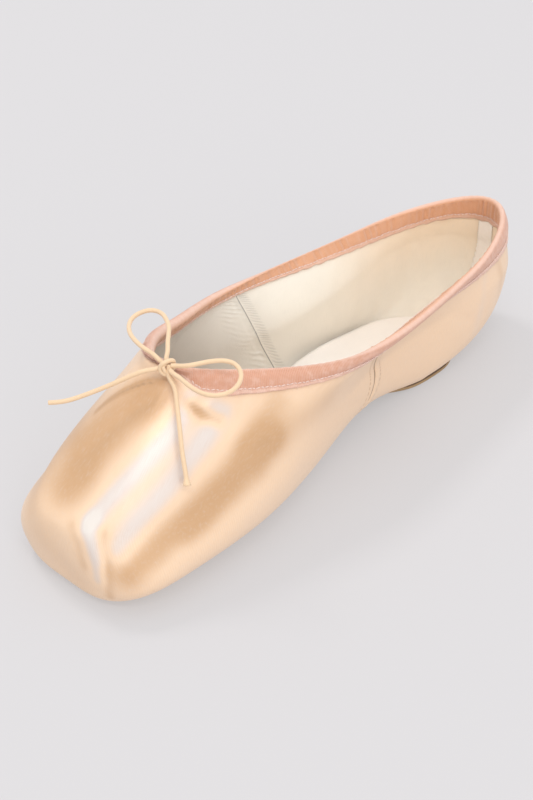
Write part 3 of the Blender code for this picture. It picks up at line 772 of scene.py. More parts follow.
class Skin:
    """Principled material with short ways to add nodes to it; `paint` lays colours over its base colour."""

    def __init__(self, name, base, roughness, **sockets):
        self.material = bpy.data.materials.new(name)
        self.material.use_nodes = True
        self.tree = self.material.node_tree
        self.shader = self.tree.nodes["Principled BSDF"]
        self.shader.inputs["Roughness"].default_value = roughness
        for socket, value in sockets.items():
            self.shader.inputs[socket.replace("_", " ")].default_value = value
        self.base = (*base, 1)
        self.relief = None

    def add(self, kind, **settings):
        """A new node with its settings."""
        node = self.tree.nodes.new(kind)
        for name, value in settings.items():
            setattr(node, name, value)
        return node

    def join(self, source, target):
        """A link from an output to an input."""
        self.tree.links.new(source, target)

    def set(self, target, value):
        """A link where the value is an output, and a plain value where it isn't."""
        if isinstance(value, bpy.types.NodeSocket):
            self.join(value, target)
        else:
            target.default_value = value

    def place(self, source="Object", scale=(1, 1, 1)):
        """Object coordinates or the piece's own UV map, stretched by a scale."""
        coordinates = self.add("ShaderNodeTexCoord")
        mapping = self.add("ShaderNodeMapping")
        mapping.inputs["Scale"].default_value = scale
        self.join(coordinates.outputs[source], mapping.inputs["Vector"])
        return mapping.outputs["Vector"]

    def parts(self, vector):
        """The three coordinates of a vector."""
        split = self.add("ShaderNodeSeparateXYZ")
        self.join(vector, split.inputs["Vector"])
        return split.outputs

    def attribute(self, name):
        """A number that the mesh holds at its vertices."""
        return self.add("ShaderNodeAttribute", attribute_name=name).outputs["Fac"]

    def math(self, operation, *values, clamp=False):
        """One sum on numbers or outputs."""
        node = self.add("ShaderNodeMath", operation=operation, use_clamp=clamp)
        for target, value in zip(node.inputs, values):
            self.set(target, value)
        return node.outputs["Value"]

    def times(self, first, second):
        """Product of two values."""
        return self.math("MULTIPLY", first, second)

    def size_of(self, value):
        """The value without its sign."""
        return self.math("ABSOLUTE", value)

    def noise(self, vector, scale, detail, roughness=0.5):
        """Cloudy noise from 0 to 1, in so many cells a metre."""
        node = self.add("ShaderNodeTexNoise")
        self.join(vector, node.inputs["Vector"])
        node.inputs["Scale"].default_value = scale
        node.inputs["Detail"].default_value = detail
        node.inputs["Roughness"].default_value = roughness
        return node.outputs["Fac"]

    def ribs(self, coordinate, pitch, shift=0.0):
        """Sine wave of one pitch along a coordinate in metres, from 0 to 1."""
        turns = self.math("MULTIPLY_ADD", coordinate, 2 * math.pi / pitch, shift)
        return self.math("MULTIPLY_ADD", self.math("SINE", turns), 0.5, 0.5)

    def spread(self, value, low, high, start=0.0, end=1.0):
        """Smooth step of a value from the start at low to the end at high."""
        node = self.add("ShaderNodeMapRange", interpolation_type="SMOOTHSTEP")
        for name, number in zip(("From Min", "From Max", "To Min", "To Max"), (low, high, start, end)):
            node.inputs[name].default_value = number
        self.set(node.inputs["Value"], value)
        return node.outputs["Result"]

    def paint(self, share, colour):
        """Lays a colour over the base by a share."""
        node = self.add("ShaderNodeMix", data_type="RGBA", blend_type="MIX")
        for socket, value in ((0, share), (6, self.base), (7, (*colour, 1))):
            self.set(node.inputs[socket], value)
        self.base = node.outputs[2]

    def roughness(self, source):
        """Roughness that changes over the surface."""
        self.join(source, self.shader.inputs["Roughness"])

    def bump(self, height, distance, strength):
        """Relief in metres, laid over the relief that is already there."""
        node = self.add("ShaderNodeBump")
        node.inputs["Strength"].default_value = strength
        node.inputs["Distance"].default_value = distance
        self.join(height, node.inputs["Height"])
        if self.relief is not None:
            self.join(self.relief, node.inputs["Normal"])
        self.relief = node.outputs["Normal"]

    def finished(self):
        """The material, with its colour and its relief joined to the shader."""
        self.join(self.base, self.shader.inputs["Base Color"])
        if self.relief is not None:
            self.join(self.relief, self.shader.inputs["Normal"])
        return self.material


def deep(colour, share):
    """The same colour, darker by a share."""
    return tuple(c * (1 - share) for c in colour)


def satin_skin(colours):
    """Satin: threads across and along, soft streaks of sheen, painted shade and painted highlight in tan and
    pale bands from the `tone` attribute, seams with their stitches from the seam attributes."""
    skin = Skin("satin", colours.satin, 0.36, Metallic=0.12, Specular_IOR_Level=0.45, Anisotropic=0.3,
                Sheen_Weight=0.06, Sheen_Roughness=0.4, Coat_Weight=0.06, Coat_Roughness=0.3)
    tangent = skin.add("ShaderNodeTangent", direction_type="UV_MAP", uv_map="cloth")
    skin.join(tangent.outputs["Tangent"], skin.shader.inputs["Tangent"])
    round_shoe, up_wall, _ = skin.parts(skin.place("UV"))
    body = skin.place("Object")
    clouds = skin.math("MULTIPLY_ADD", skin.noise(body, scale=38, detail=3), 0.4, -0.2)
    # The `tone` attribute and a little noise place the painted shade (tan) and the painted highlight (pale,
    # then sheen)
    tone = skin.math("ADD", skin.attribute("tone"), clouds)
    skin.paint(skin.spread(tone, 0.0, -1.0), colours.satin_tan_and_painted_shade)
    # Darkest painted shadow, under the near loop and the far cord end, in darker tan
    skin.paint(skin.spread(tone, -1.1, -1.7), deep(colours.satin_tan_and_painted_shade, 0.45))
    # Painted highlight: pale, and palest along the bright stripe
    skin.paint(skin.spread(tone, 0.0, 0.8), colours.satin_pale_and_painted_light)
    skin.paint(skin.spread(tone, 0.6, 1.1), colours.satin_painted_highlight)
    streaks = skin.noise(skin.place("UV", (1, 0.08, 1)), scale=5200, detail=2)
    skin.paint(skin.spread(streaks, 0.35, 0.75, 0.0, 0.14), colours.satin_tan_and_painted_shade)
    mottle = skin.noise(skin.place("UV"), scale=900, detail=3)
    skin.paint(skin.spread(mottle, 0.45, 0.8, 0.0, 0.16), colours.satin_pale_and_painted_light)
    threads = skin.ribs(round_shoe, pitch=0.85 * MM)
    skin.paint(skin.spread(threads, 0.1, 0.8, 0.0, 0.07), colours.satin_tan_and_painted_shade)
    from_side, from_back = (skin.size_of(skin.attribute(name)) for name in ("side_seam", "back_seam"))
    away = skin.math("MINIMUM", from_side, from_back)
    line = skin.spread(away, 0.42, 0.12)
    beside = skin.spread(skin.size_of(skin.math("SUBTRACT", away, SEAM_STITCH / MM)), 0.45, 0.15)
    stitches = skin.times(beside, skin.spread(skin.ribs(up_wall, pitch=1.9 * MM), 0.25, 0.5))
    skin.paint(skin.times(line, 0.95), deep(colours.satin_tan_and_painted_shade, 0.45))
    skin.paint(skin.times(stitches, 0.5), deep(colours.satin_tan_and_painted_shade, 0.1))
    skin.roughness(skin.spread(mottle, 0.2, 0.8, 0.31, 0.40))
    weave = skin.times(skin.ribs(round_shoe, pitch=0.36 * MM), skin.ribs(up_wall, pitch=0.30 * MM, shift=1.3))
    skin.bump(skin.math("ADD", weave, skin.times(streaks, 1.2)), distance=0.02 * MM, strength=0.55)
    skin.bump(skin.noise(body, scale=260, detail=2), distance=0.12 * MM, strength=0.35)
    skin.bump(skin.math("SUBTRACT", stitches, skin.times(line, 2.0)), distance=0.16 * MM, strength=0.8)
    puckers = skin.times(skin.spread(away, 5.0, 0.5), skin.ribs(up_wall, pitch=2.7 * MM, shift=0.5))
    skin.bump(puckers, distance=0.14 * MM, strength=0.6)
    return skin.finished()


def cotton_skin(name, colour, lining=None):
    """Plain-woven cotton: faint stains, slubs, over-and-under threads; with the lining's colours, its tones
    and seams as well."""
    skin = Skin(name, colour, 0.85, Specular_IOR_Level=0.25, Sheen_Weight=0.2, Sheen_Roughness=0.6)
    round_shoe, up_wall, _ = skin.parts(skin.place("UV"))
    body = skin.place("Object")
    skin.paint(skin.noise(body, scale=60, detail=4), deep(colour, 0.10))
    if lining is not None:
        shade_lining(skin, lining, body)
    slubs = skin.noise(skin.place("UV", (1, 0.12, 1)), scale=2600, detail=3)
    skin.paint(skin.spread(slubs, 0.5, 0.8, 0.0, 0.3), deep(colour, 0.2))
    if lining is not None:
        sew_lining(skin, lining, body, up_wall)
    warp = skin.ribs(round_shoe, pitch=0.55 * MM)
    weft = skin.ribs(up_wall, pitch=0.55 * MM, shift=0.7)
    weave = skin.size_of(skin.math("SUBTRACT", warp, weft))
    skin.bump(skin.math("ADD", weave, slubs), distance=0.05 * MM, strength=0.7)
    skin.bump(skin.noise(body, scale=320, detail=3), distance=0.25 * MM, strength=0.35)
    return skin.finished()


def shade_lining(skin, colours, body):
    """Lining's tones: warmer high in the heel, and painted shade, greyer from the throat towards the toe."""
    _, y, z = skin.parts(body)
    heel = skin.times(skin.spread(y, 30 * MM, 95 * MM), skin.spread(z, 12 * MM, 40 * MM))
    skin.paint(skin.times(heel, 0.75), colours.lining_heel)
    # Painted shade deep in the toe box, greyer towards the toe
    throat = THROAT_BACK - MIDDLE
    toe = skin.spread(y, throat + 95 * MM, throat + 25 * MM)
    skin.paint(skin.times(toe, 0.9), colours.lining_grey_and_toe_shade)


def sew_lining(skin, colours, body, up_wall):
    """Lining's seams: a dark line, puckers with a painted highlight in front of the side seam, and its ticked
    allowance behind it.
    """
    side = skin.attribute("side_seam")
    side_line = skin.spread(skin.size_of(side), 0.30, 0.08)
    back_line = skin.spread(skin.size_of(skin.attribute("back_seam")), 0.26, 0.08)
    line = skin.math("MAXIMUM", side_line, back_line)
    drift = skin.math("MULTIPLY_ADD", skin.noise(body, scale=90, detail=2), 4 * MM, up_wall)
    slant = skin.math("MULTIPLY_ADD", side, 0.7 * MM, drift)
    front = skin.times(skin.spread(side, -13.0, -3.0), skin.spread(side, -0.1, -1.2))
    uneven = skin.spread(skin.noise(body, scale=150, detail=2), 0.3, 0.7)
    puckers = skin.times(skin.times(skin.ribs(slant, pitch=3.0 * MM), uneven), front)
    allowance = skin.times(skin.spread(side, 0.6, 1.4), skin.spread(side, 5.5, 4.2))
    ticks = skin.times(skin.ribs(slant, pitch=1.6 * MM), allowance)
    skin.paint(skin.times(line, 0.7), deep(colours.lining_grey_and_toe_shade, 0.6))
    # Painted highlight on the puckers' crests
    skin.paint(skin.times(skin.spread(puckers, 0.3, 1.0), 0.5), PUCKER_PAINTED_HIGHLIGHT)
    skin.paint(skin.times(ticks, 0.25), deep(colours.lining_grey_and_toe_shade, 0.25))
    skin.bump(puckers, distance=0.5 * MM, strength=0.5)
    skin.bump(skin.math("SUBTRACT", skin.times(ticks, 0.5), line), distance=0.3 * MM, strength=0.7)


def tape_skin(colours):
    """Ribbed tape: cords square to its edge with painted shade in their grooves, a painted highlight along
    the crest of the rim, paler where the `edge` attribute says, and painted shade on its inner leg from the
    `inside` attribute."""
    skin = Skin("binding_tape", colours.tape, 0.62, Specular_IOR_Level=0.4, Sheen_Weight=0.35,
                Sheen_Roughness=0.45)
    round_shoe, up_band, _ = skin.parts(skin.place("UV"))
    body = skin.place("Object")
    ribs = skin.ribs(round_shoe, pitch=0.75 * MM)
    # Painted shade in the grooves between the ribs
    skin.paint(skin.spread(ribs, -0.2, 0.6, 0.75, 0.0), colours.tape_groove_shade)
    worn = skin.noise(body, scale=420, detail=3)
    skin.paint(skin.spread(worn, 0.4, 0.8, 0.0, 0.35), colours.tape_wear_and_sheen)
    inside = skin.attribute("inside")
    # Painted shade on the inner leg: a more orange copy of the tape's colour
    skin.paint(skin.times(inside, 0.7), colours.tape_inside_shade)
    # Painted highlight along the crest of the rim
    from_crest = skin.size_of(skin.math("SUBTRACT", inside, 0.5))
    skin.paint(skin.spread(from_crest, 0.5, 0.1, 0.0, 0.5), colours.tape_wear_and_sheen)
    wear = skin.math("MULTIPLY_ADD", worn, 0.6, 0.15)
    skin.paint(skin.math("MULTIPLY", wear, skin.attribute("edge"), clamp=True), colours.tape_wear_and_sheen)
    fine = skin.ribs(up_band, pitch=0.5 * MM)
    skin.bump(skin.math("MULTIPLY_ADD", fine, 0.35, ribs), distance=0.16 * MM, strength=0.9)
    skin.bump(skin.noise(body, scale=1400, detail=2), distance=0.06 * MM, strength=0.5)
    return skin.finished()


def thread_skin(name, colour):
    """Sewing thread: a fine twist, slightly glossy."""
    skin = Skin(name, colour, 0.5, Specular_IOR_Level=0.5, Sheen_Weight=0.3)
    skin.paint(skin.noise(skin.place("Object"), scale=1500, detail=2), deep(colour, 0.25))
    twist = skin.noise(skin.place("Object", (1, 1, 3)), scale=5000, detail=1)
    skin.bump(twist, distance=0.05 * MM, strength=0.6)
    return skin.finished()


def leather_skin(colours):
    """Sole leather: suede nap and scuffs, and its edge darker where an attribute of the mesh says."""
    skin = Skin("sole_leather", colours.leather, 0.78, Specular_IOR_Level=0.35)
    nap = skin.noise(skin.place("Object"), scale=900, detail=4, roughness=0.65)
    skin.paint(nap, deep(colours.leather, 0.28))
    scuffs = skin.noise(skin.place("Object", (1, 0.25, 1)), scale=130, detail=5, roughness=0.6)
    skin.paint(skin.spread(scuffs, 0.5, 0.75, 0.0, 0.5), deep(colours.leather, -0.28))
    skin.paint(skin.attribute("dark_share"), colours.leather_edge)
    skin.roughness(skin.spread(scuffs, 0.3, 0.8, 0.85, 0.62))
    skin.bump(nap, distance=0.22 * MM, strength=0.7)
    skin.bump(scuffs, distance=0.3 * MM, strength=0.35)
    return skin.finished()


def cord_skin(colours):
    """Braided cotton cord: crossing carriers read from the UV map with painted shade between them, waxed to a
    low gloss.
    """
    skin = Skin("cord_cotton", colours.cord, 0.5, Specular_IOR_Level=0.5, Sheen_Weight=0.25, Coat_Weight=0.1,
                Coat_Roughness=0.4)
    around, along, _ = skin.parts(skin.place("UV"))
    one = skin.ribs(skin.math("ADD", around, along), pitch=0.59 * MM)
    two = skin.ribs(skin.math("SUBTRACT", around, along), pitch=0.59 * MM)
    carriers = skin.math("MAXIMUM", one, two)
    skin.paint(skin.noise(skin.place("Object"), scale=700, detail=3), deep(colours.cord, 0.12))
    # Painted shade in the grooves between the carriers
    skin.paint(skin.spread(carriers, 0.75, 0.3, 0.0, 0.35), deep(colours.cord, 0.35))
    skin.bump(carriers, distance=0.05 * MM, strength=0.6)
    return skin.finished()


def floor_skin(colours):
    """Matt pale floor that glows a little, which keeps the shoe's shadow light."""
    skin = Skin("studio_floor", colours.floor, 0.95, Specular_IOR_Level=0.0, Emission_Strength=0.392)
    skin.paint(skin.noise(skin.place("Object"), scale=3, detail=2), deep(colours.floor, 0.004))
    skin.shader.inputs["Emission Color"].default_value = (*FLOOR_GLOW, 1)
    return skin.finished()


# Relief of the cloth

def crease_relief(points):
    """Sum of soft troughs and ridges: a bell curve of the distance from each line, fading at both its
    ends."""
    relief = np.zeros(points.shape[:-1])
    for height, width, *corners in CREASES:
        distance, along = line_distance(points, place_in_shoe(corners))
        fade = np.sin(np.pi * np.clip(along, 0.04, 0.96)) ** 0.7
        relief += height * MM * fade * bell(distance, width * MM)
    return relief


def painted_light_of(points):
    """Painted shade, painted shadow and painted highlight of the satin: a sum of soft bands, each a bell
    curve of the distance from its line.
    """
    tone = np.zeros(points.shape[:-1])
    for amount, width, *corners in PAINTED_LIGHT_BANDS:
        distance, _ = line_distance(points, place_in_shoe(corners))
        tone += amount * bell(distance, width * MM)
    return np.clip(tone, -1.7, 1.2)


def seam_distance(points):
    """Distance along the shoe from the side seam of the same side, behind it above zero."""
    height = np.clip(points[..., 2], SEAM_HEIGHTS[0], SEAM_HEIGHTS[-1] + 6 * MM)
    weights = spline_weights(SEAM_HEIGHTS, height.ravel())
    near = (weights @ SEAM_NEAR).reshape(height.shape)
    far = (weights @ SEAM_FAR).reshape(height.shape)
    return along_shoe(points) - np.where(points[..., 0] > 0, near, far)


def seam_marks(points):
    """Signed distances in mm from the side seam and from the back seam, which is far off away from the
    heel."""
    back = np.where(heel_centre(points) > 0.02, points[..., 0] / MM, FAR_OFF)
    return {"side_seam": seam_distance(points) / MM, "back_seam": back}


def seam_relief(away, depth):
    """Trough at a seam with a soft swell on both sides of it and faint dents along its two stitch lines."""
    away = np.abs(away)
    trough = -depth * bell(away, 0.75 * MM)
    swell = 0.45 * depth * bell(away - 2.0 * MM, 1.3 * MM)
    stitches = -0.3 * depth * bell(away - SEAM_STITCH, 0.5 * MM)
    return trough + swell + stitches


def pleat_relief(s, v, bearing):
    """Pleats under the toe, 0 behind it: a sawtooth over the bearing from the ball, steep on one side and
    long on the other, uneven in width."""
    wobble = 0.25 * np.sin(3 * bearing + 1.0) + 0.2 * np.sin(7 * bearing)
    fold = np.mod(bearing / PLEAT_TURN + wobble, 1)
    pleat = np.where(fold < PLEAT_LONG, fold / PLEAT_LONG, (1 - fold) / PLEAT_STEEP) - 0.4
    at_edge = 0.35 * smooth_step(0.06, 0.0, v)
    under = smooth_step(0.0, 0.05, v) * smooth_step(0.155, 0.085, v)
    return pleat * under_toe(s) * (at_edge + under)


def under_toe(s):
    """Share that is 1 at the front of the sole line and 0 behind the toe."""
    return smooth_step(44 * MM, 26 * MM, s)


def satin_relief(points, loop, rows, sizes):
    """Outward relief of the satin: creases, seams, pleats under the toe, puckers at sole edge and
    binding."""
    s = along_shoe(points)
    v = rows[:, None]
    relief = crease_relief(points)
    relief += seam_relief(seam_distance(points), sizes.seam_depth)
    relief += seam_relief(points[..., 0], sizes.seam_depth) * heel_centre(points)
    sole_edge = smooth_step(0.12, 0.03, v) * (1 - under_toe(s))
    relief += 0.16 * MM * loop.waves(4.2 * MM, seed=5) * sole_edge
    from_collar = loop.from_rim(points)
    gather = smooth_step(BAND + 8 * MM, BAND + 1 * MM, from_collar)
    relief += 0.06 * MM * loop.waves(7.5 * MM, seed=8) * gather
    slow = 0.10 * MM * loop.waves(46 * MM, seed=3, parts=4)
    relief += slow * np.sin(np.pi * v) * smooth_step(60 * MM, 110 * MM, s)
    relief *= mix(0.15, 1.0, smooth_step(BAND - 2 * MM, BAND + 3 * MM, from_collar))
    deepest = -0.36 * MM - 0.3 * MM * box_share(points)
    bearing = np.arctan2(points[..., 0], TUCK_TOE + 14 * MM - s)
    return np.clip(relief, deepest, 0.6 * MM) + sizes.pleat_height * pleat_relief(s, v, bearing)


def lining_relief(points, loop, rows):
    """Inward relief of the lining: its side seams, and slow waves of the cloth, stronger in the toe box."""
    v = rows[:, None]
    relief = seam_relief(seam_distance(points), 0.4 * MM)
    relief += 0.16 * MM * loop.waves(17 * MM, seed=21) * np.sin(np.pi * v)
    toe = smooth_step(100 * MM, 60 * MM, along_shoe(points))
    relief += 0.25 * MM * loop.waves(6 * MM, seed=22) * smooth_step(0.45, 0.95, v) * toe
    return relief


def box_share(points):
    """Share that is 1 in the stiffened toe box and 0 behind it."""
    return (wall_at(points) - WALL_SIDE) / (WALL_BOX - WALL_SIDE)


def cloth_depth(points, sizes):
    """Depth of the satin's inner face: its thickness, and room for the deeper folds in the box."""
    return sizes.satin_thick + 0.35 * MM * box_share(points)


def tucked(edge, lift):
    """A row of points moved inwards, level, from the upper's lower edge to under the insole."""
    step = unit(np.roll(edge, -1, axis=0) - np.roll(edge, 1, axis=0))
    inward = np.stack([-step[:, 1], step[:, 0], np.zeros(len(edge))], axis=1)
    return edge + inward * TUCK_IN + np.array([0, 0, lift])


# Pieces

def build_satin(sizes, skin):
    """Satin skin: outer face = last + normal x relief; inner face one cloth's thickness inside the last;
    its lower edge is tucked in over the outsole."""
    loop = Loop(700)
    rows = np.linspace(0, 1, 104)
    points, normals = loop.grid(rows)
    # The `tone` attribute carries the satin's painted shade and painted highlight
    marks = {"tone": painted_light_of(points), **seam_marks(points)}
    outer = moved(points, normals, satin_relief(points, loop, rows, sizes))
    few = np.linspace(1, 0, 27)
    points, normals = loop.grid(few)
    inner = moved(points, normals, -cloth_depth(points, sizes))
    low, high = tucked(outer[0], 0.05 * MM), tucked(outer[0], 0.45 * MM)
    heights = np.concatenate([[-0.05 * WALL_HEIGHT], wall_heights(rows, len(few) + 2)])
    mesh = grid_mesh("upper_satin", np.concatenate([low[None], outer, inner, high[None]]), close_rows=True,
                     close_columns=True, uv=grid_uv(loop.run, heights))
    for name, values in marks.items():
        hidden = np.full((len(few) + 1, len(loop.turn)), 0.0 if name == "tone" else FAR_OFF)
        set_attribute(mesh, name, np.concatenate([values[:1], values, hidden]))
    return add_piece("upper_satin", mesh, skin, "satin", "upper")


def build_lining(sizes, skin):
    """Lining and stiffened box: outer face against the satin, inner face one wall's thickness inside the
    last."""
    loop = Loop(600)
    rows = np.linspace(0, 1, 110)
    points, normals = loop.grid(rows)
    marks = seam_marks(points)
    inset = pared_wall(loop, points) - lining_relief(points, loop, rows)
    inset = np.clip(inset, cloth_depth(points, sizes) + 0.3 * MM, wall_at(points) + 0.28 * MM)
    inner = moved(points, normals, -inset)
    few = np.linspace(1, 0, 31)
    points, normals = loop.grid(few)
    outer = moved(points, normals, -(cloth_depth(points, sizes) + 0.12 * MM))
    uv = grid_uv(loop.run, wall_heights(rows, len(few) + 1))
    mesh = grid_mesh("lining", np.concatenate([inner, outer])[:, ::-1], close_rows=True, close_columns=True,
                     uv=uv[:, ::-1])
    hidden = np.full((len(few), len(loop.turn)), FAR_OFF)
    for name, values in marks.items():
        set_attribute(mesh, name, np.concatenate([values, hidden])[:, ::-1])
    return add_piece("lining", mesh, skin, "insole_cotton")


def build_binding(skin):
    """Tape folded over the collar: two legs down the wall and a rounded casing over the rim, gathered at its
    lower edges. The section is closed; ripples and the stitched groove move its outer skin."""
    loop = Loop(1100)
    legs = np.linspace(1, 0, 17)
    last = len(legs) - 1
    outer_edge = tape_width(loop) + 0.10 * MM * loop.waves(11 * MM, seed=31)
    inner_edge = BAND * taper(loop) + 0.20 * MM * loop.waves(8 * MM, seed=32)
    outer_gather = loop.waves(3.6 * MM, seed=33)
    inner_gather = loop.waves(4.2 * MM, seed=34)
    v_rows = loop.below_collar([edge * share for edge in (outer_edge, inner_edge) for share in legs])
    bases, normals = loop.grid(v_rows)
    thick = pared_wall(loop, bases)
    section = []

    def row_at(leg, share):
        """Row of the outer leg (0) or the inner leg (1) at a share of its width below the rim."""
        return leg * len(legs) + round((1 - share) * last)

    def add(row, edge, inside, height):
        """One row of the section: its points, how worn it is, how far inside the shoe, and its UV height."""
        section.append((row, edge, inside, height))

    for share in legs:
        k = row_at(0, share)
        casing = smooth_step(0.72, 0.40, share) - 0.7 * smooth_step(0.25, 0.0, share)
        out = TAPE_FACE + CASING_BULGE * casing - stitched_groove(share)
        swing = 0.05 * MM * loop.straight(outer_gather, bases[k]) * (0.35 + smooth_step(0.45, 1.0, share))
        add(moved(bases[k], normals[k], out + swing), worn_edge(share), 0.0, share * BAND)
    normal = loop.normal(1.0)
    up = unit(loop.flip(last_point(loop.turn, 1.0) - last_point(loop.turn, 0.999)))
    middle = moved(loop.rim, normal, -thick[last] / 2)
    half = thick[last] / 2 + TAPE_FACE + 0.3 * CASING_BULGE
    lumps = 0.06 * MM * loop.waves(4 * MM, seed=35)
    for angle in np.linspace(0, np.pi, 15)[1:-1]:
        aside = moved(middle, normal, half * math.cos(angle))
        lift = (CURVED_GAP + CASING_TOP + lumps) * math.sin(angle)
        add(moved(aside, up, lift), 0.0, 0.5 - 0.5 * math.cos(angle),
            -CASING_TOP * math.sin(angle) - 2 * MM * angle / np.pi)
    for share in legs[::-1]:
        k = row_at(1, share)
        above = smooth_step(0.80, 0.60, share)
        out = TAPE_FACE + 0.3 * CASING_BULGE * smooth_step(0.72, 0.25, share) - stitched_groove(share)
        swing = MM * loop.straight(inner_gather, bases[k]) * (0.04 + 0.20 * above)
        inset = thick[k] + out + swing
        add(moved(bases[k], normals[k], -inset), worn_edge(share), 1.0, -4 * MM - share * BAND)
    for share in (1.0, 0.6, 0.2):
        k = row_at(1, share)
        inset = thick[k] + TAPE_BACK
        add(moved(bases[k], normals[k], -inset), float(share == 1.0), 1.0, -4 * MM - share * BAND)
    over_rim = moved(middle, up, TAPE_BACK)
    add(moved(over_rim, normal, -thick[last] / 2), 0.0, 1.0, 0.0)
    add(moved(over_rim, normal, thick[last] / 2), 0.0, 0.0, 0.0)
    for share in (0.2, 0.6, 1.0):
        k = row_at(0, share)
        add(moved(bases[k], normals[k], TAPE_BACK), float(share == 1.0), 0.0, share * BAND)
    rows, edge, inside, heights = (list(column) for column in zip(*section))
    uv = grid_uv(loop.run, heights + heights[:1])
    slides = np.stack([loop.slide(row) for row in rows + rows[:1]])
    uv[..., 0] += np.concatenate([slides, slides[:, :1]], axis=1)
    mesh = grid_mesh("binding_tape", np.stack(rows), close_rows=True, close_columns=True, uv=uv)
    for name, values in (("edge", edge), ("inside", inside)):
        set_attribute(mesh, name, np.repeat(values, len(loop.turn)))
    return add_piece("binding_tape", mesh, skin, "binding_tape", "binding")


def stitched_groove(share):
    """Depth of the groove that the stitches draw into the tape, at a share of its width from the rim."""
    return STITCH_GROOVE * bell(share * BAND - STITCH_LINE, 0.5 * MM)


def worn_edge(share):
    """Share that is 1 in the worn strip below the tape's stitched line."""
    return smooth_step(0.70, 0.84, share)


def stitch_places(loop, inside, length, seed):
    """Starts, ends and outward directions of stitches along the binding, at even steps round the shoe."""
    random = np.random.default_rng(seed)
    total = loop.run[-1]
    count = int(total / (length + STITCH_GAP))
    pitch = total / count
    centres = (np.arange(count) + 0.5) * pitch + random.normal(0, 0.05, count) * pitch
    share = taper(loop)
    width = BAND * share if inside else tape_width(loop)
    down = width * STITCH_LINE / BAND + 0.15 * MM * loop.waves(14 * MM, seed)
    lines = []
    for shift in (-STITCH_ZIGZAG, STITCH_ZIGZAG):
        v, = loop.below_collar([down + shift])
        base, normal = loop.point(v), loop.normal(v)
        lift = -(pared_wall(loop, base) + TAPE_FACE - 0.04 * MM) if inside else TAPE_FACE - 0.06 * MM
        line = np.concatenate([moved(base, normal, lift), normal], axis=1)
        lines.append(np.concatenate([line, line[:1]]))

    def at(run, second):
        """Places and normals on the first or the second of the two lines."""
        run = np.mod(run, total)
        two = [np.stack([np.interp(run, loop.run, column) for column in line.T], axis=1) for line in lines]
        return np.split(np.where(second[:, None], two[1], two[0]), 2, axis=1)

    odd = np.arange(count) % 2 == 0
    starts, facing = at(centres - length / 2, odd)
    ends, _ = at(centres + length / 2, ~odd)
    kept = np.interp(centres, loop.run, np.concatenate([share, share[:1]])) > 0.55
    return starts[kept], ends[kept], facing[kept] * (-1 if inside else 1)


def build_stitching(sizes, skin):
    """Two rows of stitches that hold the tape: one on the outside and one on the inside of the collar."""
    loop = Loop(1100)
    for side, inside, seed in (("outside", False, 41), ("inside", True, 42)):
        starts, ends, facing = stitch_places(loop, inside, sizes.stitch_length, seed)
        capsules("binding_stitches_" + side, starts, ends, facing, STITCH_RADIUS, skin, sag=0.9, sides=6,
                 rings=7)


def build_fraying(skin):
    """Short loose fibres along both lower edges of the tape, lying at random angles."""
    loop = Loop(1100)
    random = np.random.default_rng(51)
    starts, ends, facing = [], [], []
    edges = ((1, FIBRES_OUTSIDE, tape_width(loop)), (-1, FIBRES_INSIDE, BAND * taper(loop)))
    for sign, count, width in edges:
        v, = loop.below_collar([width])
        base, normal = loop.point(v), loop.normal(v)
        down = unit(loop.point(v - 0.002) - base)
        pick = random.integers(0, len(base), count)
        lift = FIBRE_LIFT if sign > 0 else -(wall_at(base) + FIBRE_LIFT)
        place = moved(base, normal, lift)[pick]
        side = np.cross(normal, down)[pick]
        down, normal = down[pick], normal[pick]
        lean = random.normal(0, 0.7, (count, 1))
        length = random.uniform(0.35, 0.85, (count, 1)) * MM
        start = place - down * 0.35 * MM + normal * sign * random.uniform(0, 0.3, (count, 1)) * MM
        reach = down + side * lean + normal * sign * random.uniform(-0.2, 0.25, (count, 1))
        starts.append(start)
        ends.append(start + reach * length)
        facing.append(normal * sign)
    capsules("binding_fraying", np.concatenate(starts), np.concatenate(ends), np.concatenate(facing),
             FIBRE_RADIUS, skin, sag=2.0, sides=3, rings=4)


def build_back_tape(skin):
    """Cotton tape over the back seam inside the heel, from under the binding down to the insole, with pinked
    edges: its half-width follows a zigzag along its length."""
    rows = np.linspace(0, 1, 96)
    few = Loop(60)
    v_top = few.below_collar([BACK_TAPE_TOP])[0][30]
    v = mix(v_top, BACK_TAPE_FOOT, rows)
    teeth = np.abs(np.mod(rows * BACK_TAPE_TEETH, 1) * 2 - 1)
    half = BACK_TAPE_HALF + BACK_TAPE_TOOTH * teeth
    across = np.linspace(-1, 1, 13)
    fine = np.linspace(0, 0.30, 400)
    ring = last_point(1 - fine, v[:, None])
    x_at = np.abs(across) * half[:, None]
    turns = np.stack([np.interp(x, row, 1 - fine) for x, row in zip(x_at, ring[..., 0])])
    flip = np.stack([np.sign(across) + (across == 0), np.ones(13), np.ones(13)], axis=-1)
    points = last_point(turns, v[:, None]) * flip
    normals = last_normal(turns, v[:, None]) * flip
    under, top = (moved(points, normals, -(wall_at(points) + lift)) for lift in (0.08 * MM, 0.50 * MM))
    section = np.concatenate([top, under[:, ::-1]], axis=1)
    uv = grid_uv(np.linspace(0, 16 * MM, section.shape[1] + 1), rows * 40 * MM)
    mesh = grid_mesh("back_seam_tape", section, close_columns=True, uv=uv, caps="ring")
    return add_piece("back_seam_tape", mesh, skin, "insole_cotton")


def rounded_stations(front, back, front_radius, back_radius, count):
    """Places along a plate, closer together in its round ends, and the width share of each."""
    angle = np.linspace(0.05, np.pi / 2, 16)
    nose = front + front_radius * (1 - np.cos(angle))
    tail = back - back_radius * (1 - np.cos(angle[::-1]))
    middle = np.linspace(nose[-1], tail[0], count)[1:-1]
    share = np.concatenate([np.sin(angle), np.ones(len(middle)), np.sin(angle[::-1])])
    return np.concatenate([nose, middle, tail]), share


